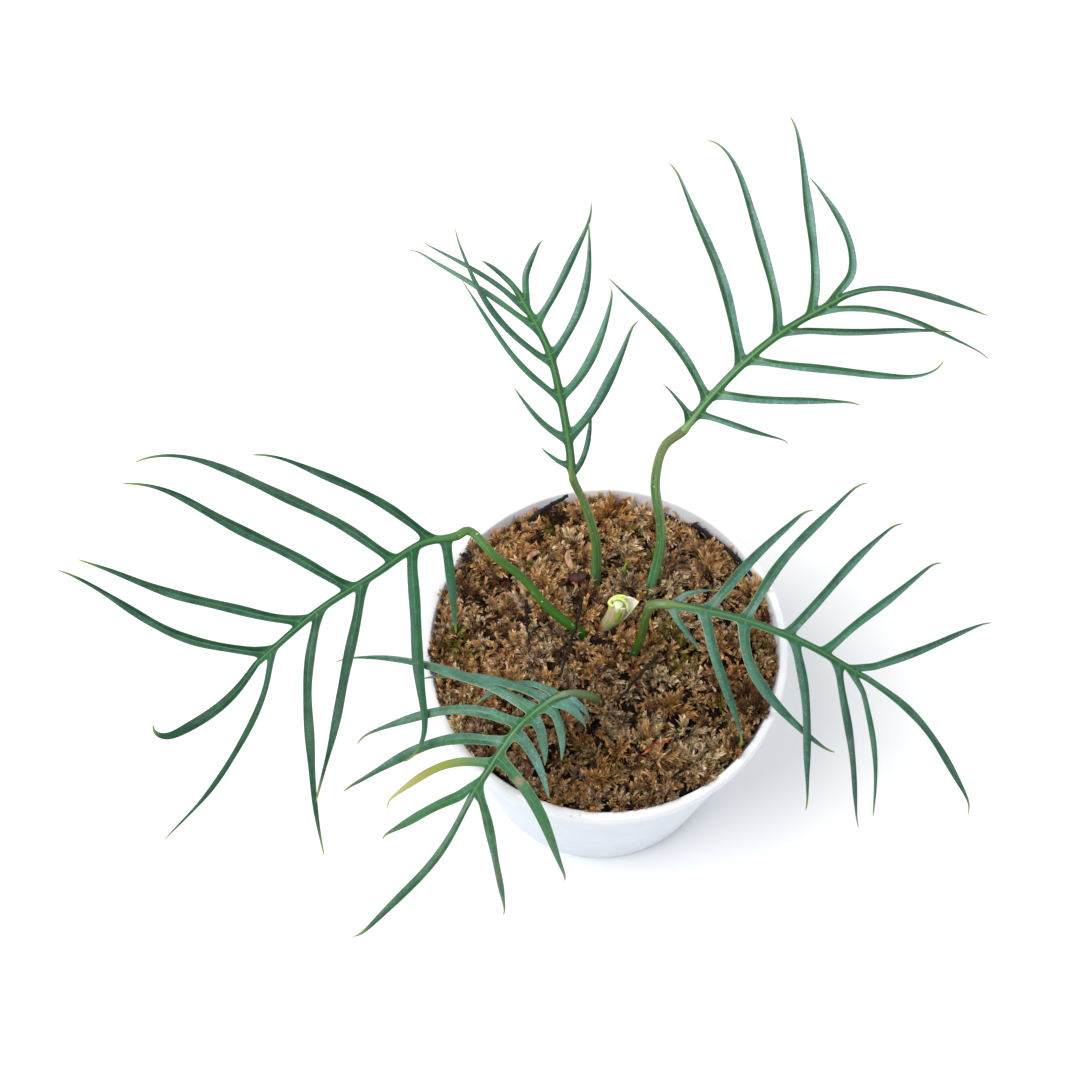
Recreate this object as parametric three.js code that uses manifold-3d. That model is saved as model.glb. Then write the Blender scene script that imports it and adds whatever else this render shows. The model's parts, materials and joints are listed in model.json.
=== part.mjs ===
// A potted philodendron: a white nursery pot filled with sphagnum moss, five long-stalked leaves
// that are each cut to the rib into narrow leaflets, and the pale sheath of a shoot that was cut off.
// Millimetres, +Z up, the origin at the centre of the pot's flat underside, -Y towards the front.
import * as THREE from 'three';
import { mergeVertices } from 'three/addons/utils/BufferGeometryUtils.js';
import Module from 'manifold-3d';

const wasm = await Module();
wasm.setup();

// Driving dimensions
const CLEARANCE = 0.3;

const POT = {
  height: 95,
  rimRadius: 60,
  baseRadius: 42.5,
  wall: 1.6,
  floor: 2,
  lipHeight: 5.6,
  lipWidth: 2.6,
  edge: 0.7,
  facets: 40,
};

// The moss is domed, and lies lower along the back and right of the rim than at the front and left.
const MOSS = {
  centreRise: 3,
  edgeDrop: 3.5,
  edgeTilt: 3,
  lump: 1,
  lumpSpan: 6.5,
  rings: [1, 0.84, 0.66, 0.46, 0.24],
};

const PETIOLE = { footRadius: 1.8, topRadius: 1.4, sides: 8, steps: 10 };
const RIB = { rootRadius: 1.3, endRadius: 0.8, sides: 6, steps: 8 };

// A leaflet is a strap that flares where it joins the rib and narrows to a point. The short ones at the
// leaf's root are narrower: a leaflet of fullWidthLength or more has the whole width of its leaf's leaflets.
const LEAFLET = {
  shortShare: 0.55,
  fullWidthLength: 45,
  thickness: 1.5,
  flare: 0.9,
  flareReach: 3,
  tipShare: 0.12,
  tipPower: 4,
  hookFrom: 0.7,
  steps: 8,
};

// The five leaves. The petiole and then the rib pass through the points given, and the blade faces "face".
// "width" is the width of the leaf's longer leaflets.
// Each comb is a row of leaflets on one side of the rib: 1 on the right when looking along it from its root
// with the face up, -1 on the left. A comb's leaflets leave the blade's plane at "rise" degrees and have bent
// down by "droop" degrees at their ends. Each leaflet is, in millimetres and degrees,
// [place along the rib, length, angle to the rib at its root, bend in the blade's plane, hook of its last part].
const LEAVES = {
  left: {
    petiole: [[-5, 5, 86], [-15, 6, 106], [-25, 10, 116], [-35, 17, 124], [-44, 25, 128]],
    rib: [[-48, 22, 130], [-58, 19, 132], [-73, 9, 130], [-91, -2, 126], [-111, -16, 116]],
    face: [-0.1, -0.1, 1],
    width: 3.4,
    combs: [
      {
        side: 1, rise: 13, droop: 13,
        leaflets: [[8, 62, 52, -15, -30], [22, 92, 75, -15, -50], [38, 82, 62, 0, -30],
          [56, 78, 44, 15, 0], [71, 77, 40, 35, -20]],
      },
      {
        side: -1, rise: -2, droop: 17,
        leaflets: [[4, 31, 95, -10, 0], [15, 70, 59, 5, -80], [34, 70, 53, -10, 0],
          [50, 77, 42, 20, 0], [70, 73, 49, -50, 0]],
      },
      { side: 1, rise: 15, droop: 20, leaflets: [[76, 46, -30, 45, 120]] },
    ],
  },
  back: {
    petiole: [[-3, 23, 86], [-3, 28, 112], [-7, 33, 131]],
    rib: [[-11, 36, 143], [-12, 40, 153], [-15, 49, 170], [-19, 58, 184], [-28, 71, 195]],
    face: [0, -0.6, 0.8],
    width: 3.3,
    combs: [
      {
        side: 1, rise: 6, droop: 32,
        leaflets: [[2, 25, 46, -35, 0], [16, 44, 53, -25, 0], [31, 38, 64, -40, 0],
          [45, 43, 65, -45, 0], [56, 41, 65, -20, 0], [66, 18, 39, 20, 0]],
      },
      {
        side: -1, rise: 12, droop: 42,
        leaflets: [[5, 12, 67, -20, 0], [15, 25, 46, -15, 0], [30, 49, 37, -15, 0],
          [43, 52, 47, -40, 0], [54, 47, 26, 5, 0], [62, 37, 22, 10, 0]],
      },
      { side: 1, rise: 0, droop: 10, leaflets: [[66, 15, -4, -25, 0]] },
    ],
  },
  tall: {
    petiole: [[14, 18, 86], [18, 28, 116], [15, 36, 142], [17.5, 41, 155]],
    rib: [[23, 43, 161], [29, 48, 168], [40, 57, 176], [52, 66, 180], [73, 80, 180]],
    face: [0.1, -0.4, 0.9],
    width: 3.4,
    combs: [
      {
        side: -1, rise: 8, droop: 22,
        leaflets: [[3, 15, 51, 25, 0], [12, 49, 60, 30, 0], [27, 66, 56, 15, 0],
          [42, 66, 63, 10, 35], [55, 64, 60, 5, 0], [67, 41, 33, 60, 0]],
      },
      {
        side: 1, rise: 3, droop: 18,
        leaflets: [[7, 30, 69, 5, 0], [15, 45, 56, -5, 0], [30, 63, 54, -10, -45],
          [44, 56, 35, -5, 0], [57, 62, 20, 30, 0]],
      },
      { side: 1, rise: 6, droop: 8, leaflets: [[67, 48, 10, 40, 0]] },
    ],
  },
  right: {
    petiole: [[8, -3, 86], [11, -4, 110], [12, -3, 124], [13.5, -2.5, 131]],
    rib: [[18, -3, 133], [36, -7, 134], [49, -11, 133], [61, -15, 130], [79, -22, 121]],
    face: [0.1, -0.1, 1],
    width: 3.3,
    combs: [
      {
        side: -1, rise: 13, droop: 15,
        leaflets: [[3, 13, 74, -65, 0], [13, 45, 61, -5, 0], [25, 59, 80, -20, 0],
          [39, 52, 72, -10, 0], [52, 50, 69, -10, 0], [65, 49, 46, 0, 0]],
      },
      {
        side: 1, rise: -13, droop: 20,
        leaflets: [[2, 18, 75, -40, 0], [12, 44, 68, -12, 0], [25, 55, 83, -75, 0],
          [41, 55, 52, 10, 0], [57, 56, 47, -5, 0], [65, 48, 36, 20, 0]],
      },
      { side: 1, rise: 8, droop: 22, leaflets: [[66, 59, 0, 30, 0]] },
    ],
  },
  front: {
    petiole: [[-2, -17, 86], [-5, -22, 104], [-10, -25, 114]],
    rib: [[-14, -28, 120], [-19, -32, 124], [-28, -41, 126], [-33, -47, 123], [-43, -59, 112]],
    face: [-0.3, -0.2, 0.9],
    width: 4.2,
    combs: [
      { side: 1, rise: 0, droop: 80, leaflets: [[3, 31, 100, -70, 0]] },
      { side: 1, rise: 8, droop: 45, leaflets: [[7, 42, 75, -25, 0], [13, 69, 80, -20, 0]] },
      {
        side: 1, rise: 0, droop: 25,
        leaflets: [[20, 56, 83, -50, 0], [27, 65, 69, -45, 15], [35, 47, 64, -45, 0], [45, 43, 34, -5, 0]],
      },
      { side: -1, rise: 25, droop: 95, leaflets: [[4, 17, 152, -25, 0], [7, 17, 138, -30, 0]] },
      {
        side: -1, rise: -20, droop: 25,
        leaflets: [[10, 20, 142, -100, 0], [16, 17, 117, -75, 0], [23, 25, 101, -60, 0],
          [32, 49, 82, -45, 0], [44, 51, 48, -30, 0]],
      },
      { side: 1, rise: 12, droop: 8, leaflets: [[47, 58, -17, 30, 0]] },
    ],
  },
};

// The cut shoot: a round foot in the moss that opens into a flat, wide sheath, cut across near level.
const STUB = {
  line: [[0.5, 6, 86], [1, 6, 97], [3, 7, 104], [7, 9, 114]],
  face: [0, -1, 0.3],
  footRadius: 2.3,
  topHalfWidth: 4.6,
  topHalfDepth: 2.6,
  cutHeight: 110,
  cutTilt: 8,
  sides: 10,
  steps: 8,
};

const COLOURS = {
  pot: { color: 0xeef0f0, roughness: 0.4 },
  moss: { color: 0x7a5a34, roughness: 1 },
  cut_stub: { color: 0xd9d8b4, roughness: 0.6 },
  petiole: { color: 0x5f7a35, roughness: 0.5 },
  frond: { color: 0x24482b, roughness: 0.45 },
};

// Small helpers
const vector = (p) => new THREE.Vector3(...p);
const mix = THREE.MathUtils.lerp;
const radians = THREE.MathUtils.degToRad;

// A closed three.js geometry as a solid that can be joined and cut.
function solid(geometry) {
  geometry.deleteAttribute('normal');
  geometry.deleteAttribute('uv');
  const merged = mergeVertices(geometry, 1e-4);
  const corners = merged.index.array;
  const faces = [];
  for (let i = 0; i < corners.length; i += 3) {
    const [a, b, c] = [corners[i], corners[i + 1], corners[i + 2]];
    if (a !== b && b !== c && c !== a) faces.push(a, b, c);
  }
  const mesh = new wasm.Mesh({
    numProp: 3,
    vertProperties: new Float32Array(merged.attributes.position.array),
    triVerts: new Uint32Array(faces),
  });
  return new wasm.Manifold(mesh);
}

// A solid as a named mesh with a material of its own.
function node(name, body, look) {
  const { vertProperties, triVerts } = body.getMesh();
  const geometry = new THREE.BufferGeometry();
  geometry.setAttribute('position', new THREE.BufferAttribute(vertProperties, 3));
  geometry.setIndex(new THREE.BufferAttribute(triVerts, 1));
  geometry.computeVertexNormals();
  const mesh = new THREE.Mesh(geometry, new THREE.MeshStandardMaterial(look));
  mesh.name = name;
  return mesh;
}

// A cylinder carried along a line: station(u) gives its middle and its two half-widths at the share u.
function bent(sides, steps, station) {
  const geometry = new THREE.CylinderGeometry(1, 1, 1, sides, steps);
  const places = geometry.attributes.position;
  const corner = new THREE.Vector3();
  for (let i = 0; i < places.count; i++) {
    corner.fromBufferAttribute(places, i);
    const { point, across, up } = station(corner.y + 0.5);
    point.addScaledVector(across, corner.x).addScaledVector(up, corner.z);
    places.setXYZ(i, point.x, point.y, point.z);
  }
  return solid(geometry);
}

// The directions across a line and out of its face, where it runs along "along".
function crossFrame(along, face) {
  const up = face.clone().addScaledVector(along, -face.dot(along)).normalize();
  const across = along.clone().cross(up);
  return { across, up };
}

// A round profile that is turned about the pot's axis, from the axis below round to the axis above.
function turned(profile) {
  const points = profile.map(([r, z]) => new THREE.Vector2(r, z));
  return new THREE.LatheGeometry(points, POT.facets).rotateX(Math.PI / 2);
}

// Pot
function potInside(z) {
  const share = (z - POT.floor) / (POT.height - POT.floor);
  return mix(POT.baseRadius - POT.wall, POT.rimRadius - POT.lipWidth, share);
}

function pot() {
  const { height, rimRadius, baseRadius, wall, floor, lipHeight, edge } = POT;
  const underLip = height - lipHeight;
  return solid(turned([
    [0, 0],
    [baseRadius - edge, 0],
    [baseRadius, edge],
    [potInside(underLip) + wall, underLip],
    [rimRadius - edge / 2, underLip],
    [rimRadius, underLip + edge],
    [rimRadius, height - edge],
    [rimRadius - edge, height],
    [potInside(height) + edge / 2, height],
    [potInside(height), height - edge],
    [potInside(floor), floor],
    [0, floor],
  ]));
}

// Moss
function mossTop(x, y) {
  const out = Math.hypot(x, y) / potInside(POT.height);
  const backRight = (x + y) / Math.SQRT2 / potInside(POT.height);
  const dome = MOSS.centreRise - (MOSS.centreRise + MOSS.edgeDrop) * out * out;
  const lumps = MOSS.lump * Math.sin(x / MOSS.lumpSpan + 1) * Math.cos(y / MOSS.lumpSpan);
  return POT.height + dome - MOSS.edgeTilt * backRight + lumps * (1 - out ** 4);
}

function moss(sockets) {
  const bottom = POT.floor + CLEARANCE;
  const widest = potInside(POT.height) - CLEARANCE;
  const rings = MOSS.rings.map((share) => [widest * share, POT.height]);
  const geometry = turned([[0, bottom], [potInside(bottom) - CLEARANCE, bottom], ...rings, [0, POT.height]]);
  const places = geometry.attributes.position;
  for (let i = 0; i < places.count; i++) {
    const [x, y, z] = [places.getX(i), places.getY(i), places.getZ(i)];
    if (z < POT.height - 1) continue;
    const top = mossTop(x, y);
    const inPot = Math.min(1, (potInside(top) - CLEARANCE) / Math.max(Math.hypot(x, y), 1));
    places.setXYZ(i, x * inPot, y * inPot, top);
  }
  return solid(geometry).subtract(wasm.Manifold.union(sockets));
}

// Leaf stalks: one smooth line runs up the petiole and on along the rib
function stalkOf(leaf) {
  const points = [...leaf.petiole, ...leaf.rib].map(vector);
  const line = new THREE.CatmullRomCurve3(points);
  line.arcLengthDivisions = 100 * (points.length - 1);
  const lengths = line.getLengths();
  return { line, ribStart: lengths[100 * leaf.petiole.length], length: lengths[lengths.length - 1] };
}

function petiole(stalk, extra) {
  const { sides, steps, footRadius, topRadius } = PETIOLE;
  const end = (stalk.ribStart - CLEARANCE) / stalk.length;
  const start = -extra / stalk.length;
  const frames = stalk.line.computeFrenetFrames(100);
  return bent(sides, steps, (u) => {
    const at = mix(start, end, u);
    const inside = Math.max(at, 0);
    const point = stalk.line.getPointAt(inside);
    point.addScaledVector(stalk.line.getTangentAt(inside), (at - inside) * stalk.length);
    const along = stalk.line.getTangentAt(inside);
    const { across, up } = crossFrame(along, frames.normals[Math.round(inside * 100)]);
    const radius = mix(footRadius, topRadius, u) + extra;
    return { point, across: across.multiplyScalar(radius), up: up.multiplyScalar(radius) };
  });
}

// Leaf blades
function placeOnRib(stalk, face, distance) {
  const share = Math.min(1, (stalk.ribStart + distance) / stalk.length);
  const along = stalk.line.getTangentAt(share);
  return { point: stalk.line.getPointAt(share), along, ...crossFrame(along, face) };
}

function rib(stalk, face) {
  return bent(RIB.sides, RIB.steps, (u) => {
    const { point, across, up } = placeOnRib(stalk, face, u * (stalk.length - stalk.ribStart));
    const radius = mix(RIB.rootRadius, RIB.endRadius, u);
    return { point, across: across.multiplyScalar(radius), up: up.multiplyScalar(radius) };
  });
}

// The way a leaflet heads at the share u of its length: most of its bend comes near its root.
function heading(root, comb, [, , spread, bend, hook], u) {
  const late = Math.max(0, (u - LEAFLET.hookFrom) / (1 - LEAFLET.hookFrom));
  const turn = radians(spread + bend * u * (2 - u) + hook * late * late);
  const pitch = radians(comb.rise - comb.droop * u);
  const flat = root.along.clone().multiplyScalar(Math.cos(turn));
  flat.addScaledVector(root.across, comb.side * Math.sin(turn));
  return flat.multiplyScalar(Math.cos(pitch)).addScaledVector(root.up, Math.sin(pitch));
}

function leaflet(root, comb, size, fullWidth) {
  const { steps, thickness, flare, flareReach, tipShare, tipPower } = LEAFLET;
  const length = size[1];
  const middle = [root.point];
  for (let i = 0; i < steps; i++) {
    const way = heading(root, comb, size, (i + 0.5) / steps);
    middle.push(middle[i].clone().addScaledVector(way, length / steps));
  }
  const grown = Math.min(1, length / LEAFLET.fullWidthLength);
  const width = fullWidth * mix(LEAFLET.shortShare, 1, grown);
  return bent(4, steps, (u) => {
    const { across, up } = crossFrame(heading(root, comb, size, u), root.up);
    const taper = 1 - (1 - tipShare) * u ** tipPower;
    const flared = width + flare * Math.exp(-u * length / flareReach);
    return {
      point: middle[Math.round(u * steps)].clone(),
      across: across.multiplyScalar(flared * taper / 2),
      up: up.multiplyScalar(thickness * taper / 2),
    };
  });
}

function frond(stalk, leaf) {
  const face = vector(leaf.face).normalize();
  const pieces = [rib(stalk, face)];
  for (const comb of leaf.combs) {
    for (const size of comb.leaflets) {
      pieces.push(leaflet(placeOnRib(stalk, face, size[0]), comb, size, leaf.width));
    }
  }
  return wasm.Manifold.union(pieces);
}

// Cut stub
function stub(extra) {
  const line = new THREE.CatmullRomCurve3(STUB.line.map(vector));
  const face = vector(STUB.face).normalize();
  const whole = bent(STUB.sides, STUB.steps, (u) => {
    const { across, up } = crossFrame(line.getTangentAt(u), face);
    const point = line.getPointAt(u);
    point.z -= extra * (1 - u);
    const opened = u * u;
    across.multiplyScalar(mix(STUB.footRadius, STUB.topHalfWidth, opened) + extra);
    up.multiplyScalar(mix(STUB.footRadius, STUB.topHalfDepth, opened) + extra);
    return { point, across, up };
  });
  const above = new THREE.BoxGeometry(60, 60, 20).translate(0, 0, 10);
  above.rotateY(radians(-STUB.cutTilt)).translate(STUB.line[3][0], STUB.line[3][1], STUB.cutHeight);
  return whole.subtract(solid(above));
}

// The whole plant
const plant = new THREE.Group();
plant.name = 'potted_philodendron';
const sockets = [stub(CLEARANCE)];
for (const [name, leaf] of Object.entries(LEAVES)) {
  const stalk = stalkOf(leaf);
  plant.add(node(`petiole_${name}`, petiole(stalk, 0), COLOURS.petiole));
  plant.add(node(`frond_${name}`, frond(stalk, leaf), COLOURS.frond));
  sockets.push(petiole(stalk, CLEARANCE));
}
plant.add(node('cut_stub', stub(0), COLOURS.cut_stub));
plant.add(node('moss', moss(sockets), COLOURS.moss));
plant.add(node('pot', pot(), COLOURS.pot));

export default plant;
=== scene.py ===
# %% [markdown]
# # A cut-leaved philodendron in a white pot
# Five leaves stand on long stalks in a white plastic pot of brown sphagnum moss, round the pale stub
# of a shoot that was cut off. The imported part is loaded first, as a fixed frame in metres: every piece
# below is grown at the place where the part's own solid stands, and then stands in for it.

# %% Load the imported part
import json
import math

import bmesh
import bpy
import numpy as np
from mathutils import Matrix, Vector, noise

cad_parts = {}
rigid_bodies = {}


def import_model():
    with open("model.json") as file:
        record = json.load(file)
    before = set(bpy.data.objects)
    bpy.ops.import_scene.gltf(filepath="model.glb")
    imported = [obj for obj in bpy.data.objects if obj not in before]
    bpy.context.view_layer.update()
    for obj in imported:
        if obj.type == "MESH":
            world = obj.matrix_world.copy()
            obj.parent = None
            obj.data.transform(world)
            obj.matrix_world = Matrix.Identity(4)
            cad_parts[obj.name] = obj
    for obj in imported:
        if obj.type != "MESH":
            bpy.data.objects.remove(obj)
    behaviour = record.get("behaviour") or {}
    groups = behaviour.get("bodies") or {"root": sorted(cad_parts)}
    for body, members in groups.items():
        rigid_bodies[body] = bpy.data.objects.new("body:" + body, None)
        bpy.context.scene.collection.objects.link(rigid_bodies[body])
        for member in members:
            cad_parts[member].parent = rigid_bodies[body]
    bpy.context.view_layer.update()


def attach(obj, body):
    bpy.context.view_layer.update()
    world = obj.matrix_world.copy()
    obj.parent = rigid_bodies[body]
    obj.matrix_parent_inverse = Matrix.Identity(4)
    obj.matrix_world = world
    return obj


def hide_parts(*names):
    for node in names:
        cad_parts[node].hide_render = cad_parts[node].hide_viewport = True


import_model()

# %% [markdown]
# ## Sizes
# These are the part's own sizes in millimetres and degrees, written again here because the blades and
# stalks grow by the same rule as its solids. Some leaflets are a little longer or turned further than in
# the solids, so that they end where the real ones do.
# A leaf has the knots of its petiole and rib, the way its blade faces, the stalk's thickness at the foot
# and at the rib, and for some the length of the neck that leads into the rib. Its leaflets stand in combs,
# which share a side of the rib, a rise, a droop, a fold along the vein (below zero the halves stand up) and
# the bloom on the half towards the rib's start and on the other; the bloom on each half is also painted
# sheen, heavier on the half that faces the light. A leaflet's row reads: place along the rib, length,
# angle to the rib at its root, bend in the blade's plane, hook of its last part, width, and for some a
# curl of the tip. The leaflet that has faded is named by its place and length.

# %% Pot and moss sizes
MM = 0.001
POT = dict(height=95, rim=60, base=42.5, wall=1.6, floor=2, lip_height=5.6, lip_width=2.6)
MOSS = dict(rise=3, edge_drop=3.5, edge_tilt=3, lump=1, lump_span=6.5)
print("the pot is", 2 * POT["rim"], "mm over its rim and", POT["height"], "mm tall")

# %% The left leaf
LEAVES = {}


def note_leaf(name, **sizes):
    """Notes the sizes of a leaf under its name."""
    LEAVES[name] = sizes
    print("the", name, "leaf has", sum(len(comb["rows"]) for comb in sizes["combs"]) + 1, "leaflets")


note_leaf(
    "left",
    petiole=[[-3, 4.4, 88], [-10.4, 3.9, 100], [-19.1, 7.4, 109], [-27.3, 13.8, 117.5],
             [-35.5, 17.8, 124], [-44, 25, 128]],
    rib=[[-48, 22, 130], [-58, 19, 132], [-73, 9, 130], [-91, -2, 126], [-111, -16, 116]],
    face=[-0.1, -0.1, 1], thick=(1.55, 1.4), neck=9,
    combs=[
        dict(side=1, rise=13, droop=13, fold=-0.45, bloom=(0.05, 0.25), rows=[
            [8, 63, 50, -15, -30, 3.0], [22, 92.5, 73, -15, -50, 3.2],
            [38, 83, 60, 0, -30, 3.4], [56, 79.5, 43.5, 15, 0, 3.2],
            [71, 79, 39, 35, -20, 3.0]]),
        dict(side=-1, rise=-2, droop=17, fold=0.15, bloom=(0.1, 0.2), rows=[
            [4, 31, 95, -10, 0, 3.2], [15, 70, 59, 5, -80, 3.7], [34, 70, 53, -10, 0, 3.5],
            [50, 77, 42, 20, 0, 3.3], [70, 76, 48.5, -50, 0, 2.3]]),
    ],
    end=dict(side=1, rise=15, droop=20, fold=-0.3, bloom=(0.1, 0.1),
             rows=[[76, 46, -30, 45, 120, 3.6]]),
)

# %% The back leaf
note_leaf(
    "back",
    petiole=[[-3, 23, 86], [-3, 28, 112], [-7, 33, 131]],
    rib=[[-11, 36, 143], [-12, 40, 153], [-15, 49, 170], [-19, 58, 184], [-28, 71, 195]],
    face=[0, -0.6, 0.8], thick=(1.75, 1.25),
    combs=[
        dict(side=1, rise=6, droop=32, fold=0.5, bloom=(0.15, 0.65), rows=[
            [2, 25, 46, -35, 0, 1.9], [16, 44, 53, -25, 0, 3.2, 50],
            [31, 38, 64, -40, 0, 2.9, -25], [45, 43, 65, -45, 0, 2.7],
            [56, 41, 65, -12, -35, 2.3], [66, 18, 39, 20, 0, 2.1, 40]]),
        dict(side=-1, rise=12, droop=42, fold=0.3, bloom=(0.4, 0.2), rows=[
            [5, 12, 67, -20, 0, 1.6, -40], [15, 25, 46, -15, 0, 2.0], [30, 49, 37, -15, 0, 1.9],
            [43, 52, 47, -40, 0, 2.0, -15], [54, 47, 26, 5, 0, 1.7, 40],
            [62, 37, 22, 10, 0, 1.5]]),
    ],
    end=dict(side=1, rise=0, droop=10, fold=0.3, bloom=(0.3, 0.3),
             rows=[[66, 15, -4, -25, 0, 1.6]]),
)

# %% The tall leaf
note_leaf(
    "tall",
    petiole=[[14, 18, 86], [18, 28, 116], [15, 36, 142], [17.5, 41, 155]],
    rib=[[23, 43, 161], [29, 48, 168], [40, 57, 176], [52, 66, 180], [73, 80, 180]],
    face=[0.1, -0.4, 0.9], thick=(1.65, 1.45),
    combs=[
        dict(side=-1, rise=8, droop=22, fold=-0.55, bloom=(0.1, 0.85), rows=[
            [3, 15.5, 39, 50, 0, 1.3], [12, 49, 60, 30, 0, 2.6], [27, 66, 56, 15, 0, 3.0, 25],
            [42, 66, 63, 10, 35, 2.9, 25], [55, 64, 60, 5, 0, 3.1, 20],
            [67, 41, 33, 60, 0, 2.7, 10]]),
        dict(side=1, rise=3, droop=18, fold=-0.5, bloom=(0.75, 0.1), rows=[
            [7, 30, 69, 5, 0, 1.9, 40], [15, 45, 56, -5, 0, 2.5, 20],
            [30, 63, 54, -10, -45, 2.5, -20], [44, 56, 35, -5, 0, 2.2],
            [57, 62, 20, 30, 0, 2.0, 15]]),
    ],
    end=dict(side=1, rise=6, droop=8, fold=-0.3, bloom=(0.4, 0.2),
             rows=[[67, 48, 10, 40, 0, 2.1]]),
)

# %% The right leaf
note_leaf(
    "right",
    petiole=[[8, -3, 86], [11, -4, 110], [12, -3, 124], [13.5, -2.5, 131]],
    rib=[[18, -3, 133], [36, -7, 134], [49, -11, 133], [61, -15, 130], [79, -22, 121]],
    face=[0.1, -0.1, 1], thick=(1.45, 1.45),
    combs=[
        dict(side=-1, rise=13, droop=15, fold=-0.35, bloom=(0.2, 0.45), rows=[
            [3, 13, 74, -65, 0, 1.7], [13, 47, 62, -5, 0, 3.1, -45],
            [25, 60.5, 81, -20, 0, 3.1, -35], [39, 54, 73, -10, 0, 2.8, -35],
            [52, 52, 70, -10, 0, 2.7, -35], [65, 51, 47, 0, 0, 2.5, -15]]),
        dict(side=1, rise=-13, droop=20, fold=0.3, bloom=(0.5, 0.2), rows=[
            [2, 18, 75, -40, 0, 1.8], [12, 44, 68, -12, 0, 3.2, 40],
            [25, 55, 83, -75, 0, 3.5, -25], [41, 55, 52, 10, 0, 3.1, 15],
            [57, 57.5, 47, -5, 0, 3.0, -15], [65, 49, 36, 14, 0, 2.1]]),
    ],
    end=dict(side=1, rise=8, droop=22, fold=0.2, bloom=(0.35, 0.2),
             rows=[[66, 59, 0, 30, 0, 2.8, 55]]),
)

# %% The front leaf
note_leaf(
    "front",
    petiole=[[-2, -17, 86], [-5, -22, 104], [-10, -25, 114]],
    rib=[[-14, -28, 120], [-19, -32, 124], [-28, -41, 126], [-33, -47, 123], [-43, -59, 112]],
    face=[-0.3, -0.2, 0.9], thick=(1.6, 1.2), neck=3,
    combs=[
        dict(side=1, rise=0, droop=80, fold=0.5, bloom=(0.95, 0.7), rows=[[3, 31, 100, -70, 0, 3.6]]),
        dict(side=1, rise=8, droop=45, fold=0.5, bloom=(0.9, 0.55), rows=[
            [7, 42, 75, -25, 0, 3.8], [13, 73, 80, -15, 0, 4.0, -25]]),
        dict(side=1, rise=0, droop=25, fold=0.5, bloom=(0.6, 0.2), rows=[
            [20, 57, 83, -50, 0, 3.5, -45], [27, 68, 69, -44, 15, 3.4, -15],
            [35, 50, 64, -43, 0, 2.7, -55]]),
        dict(side=1, rise=0, droop=25, fold=0.4, bloom=(0.25, 0.1), rows=[
            [45, 45, 34, -5, 0, 3.1, -30]]),
        dict(side=-1, rise=25, droop=95, fold=0.4, bloom=(1.0, 0.9), rows=[
            [4, 17, 152, -25, 0, 3.4], [7, 17, 138, -30, 0, 4.0]]),
        dict(side=-1, rise=-20, droop=25, fold=0.4, bloom=(0.95, 0.75), rows=[
            [10, 20, 142, -100, 0, 3.3], [16, 17, 117, -75, 0, 3.3],
            [23, 25, 101, -60, 0, 3.2]]),
        dict(side=-1, rise=-20, droop=25, fold=0.3, bloom=(0.25, 0.2), rows=[
            [32, 51, 82, -45, 0, 3.9, -45], [44, 54, 48, -30, 0, 3.5, -45]]),
    ],
    end=dict(side=1, rise=12, droop=8, fold=-0.2, bloom=(0.1, 0.3),
             rows=[[47, 60, -17, 30, 0, 2.8, 30]]),
    yellow=[35, 50],
)

# %% [markdown]
# ## Small tools
# Blender's node trees are built by adding nodes and linking sockets, hundreds of times. One helper adds
# a node with its settings and inputs in a single call, for materials and for Geometry Nodes alike.
# A second one makes a mesh object from plain arrays in millimetres, with named values on its points.
# The rest are shorthands for what the trees and finishes below do again and again.

# %% One call for a node
def add(tree, kind, inputs=None, **settings):
    """Adds a node. Each input is a value, or another node's output that is then linked to it."""
    node = tree.nodes.new(kind)
    for name, value in settings.items():
        setattr(node, name, value)
    for key, value in (inputs or {}).items():
        if isinstance(value, bpy.types.NodeSocket):
            tree.links.new(value, node.inputs[key])
        else:
            node.inputs[key].default_value = value
    return node

# %% Meshes from arrays
def show(name, mesh):
    """Puts a mesh in the scene as an object."""
    piece = bpy.data.objects.new(name, mesh)
    bpy.context.scene.collection.objects.link(piece)
    return piece


def mesh_piece(name, points, faces, edges=(), **traits):
    """A mesh object from points in millimetres. Each trait is a value, or a direction, on every point."""
    mesh = bpy.data.meshes.new(name)
    mesh.from_pydata((np.asarray(points, float) * MM).tolist(), list(edges), [list(f) for f in faces])
    for key, values in traits.items():
        values = np.asarray(values, np.float32)
        turned = values.ndim == 2
        layer = mesh.attributes.new(key, "FLOAT_VECTOR" if turned else "FLOAT", "POINT")
        layer.data.foreach_set("vector" if turned else "value", values.ravel())
    mesh.update()
    return show(name, mesh)


def keep(piece, slot, *nodes):
    """Puts a finished piece on the one body, and it may replace solids; its finish slot is not used."""
    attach(piece, "root")
    if nodes:
        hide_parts(*nodes)
    print(piece.name, "has", len(piece.data.polygons), "faces")

# %% Geometry Nodes trees
def growth_tree(name, **inputs):
    """A tree with a mesh in and a mesh out, and named inputs of the given socket kinds."""
    tree = bpy.data.node_groups.new(name, "GeometryNodeTree")
    tree.interface.new_socket("Geometry", in_out="INPUT", socket_type="NodeSocketGeometry")
    for label, kind in inputs.items():
        tree.interface.new_socket(label, in_out="INPUT", socket_type="NodeSocket" + kind)
    tree.interface.new_socket("Geometry", in_out="OUTPUT", socket_type="NodeSocketGeometry")
    return tree, tree.nodes.new("NodeGroupInput").outputs, tree.nodes.new("NodeGroupOutput").inputs


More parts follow.
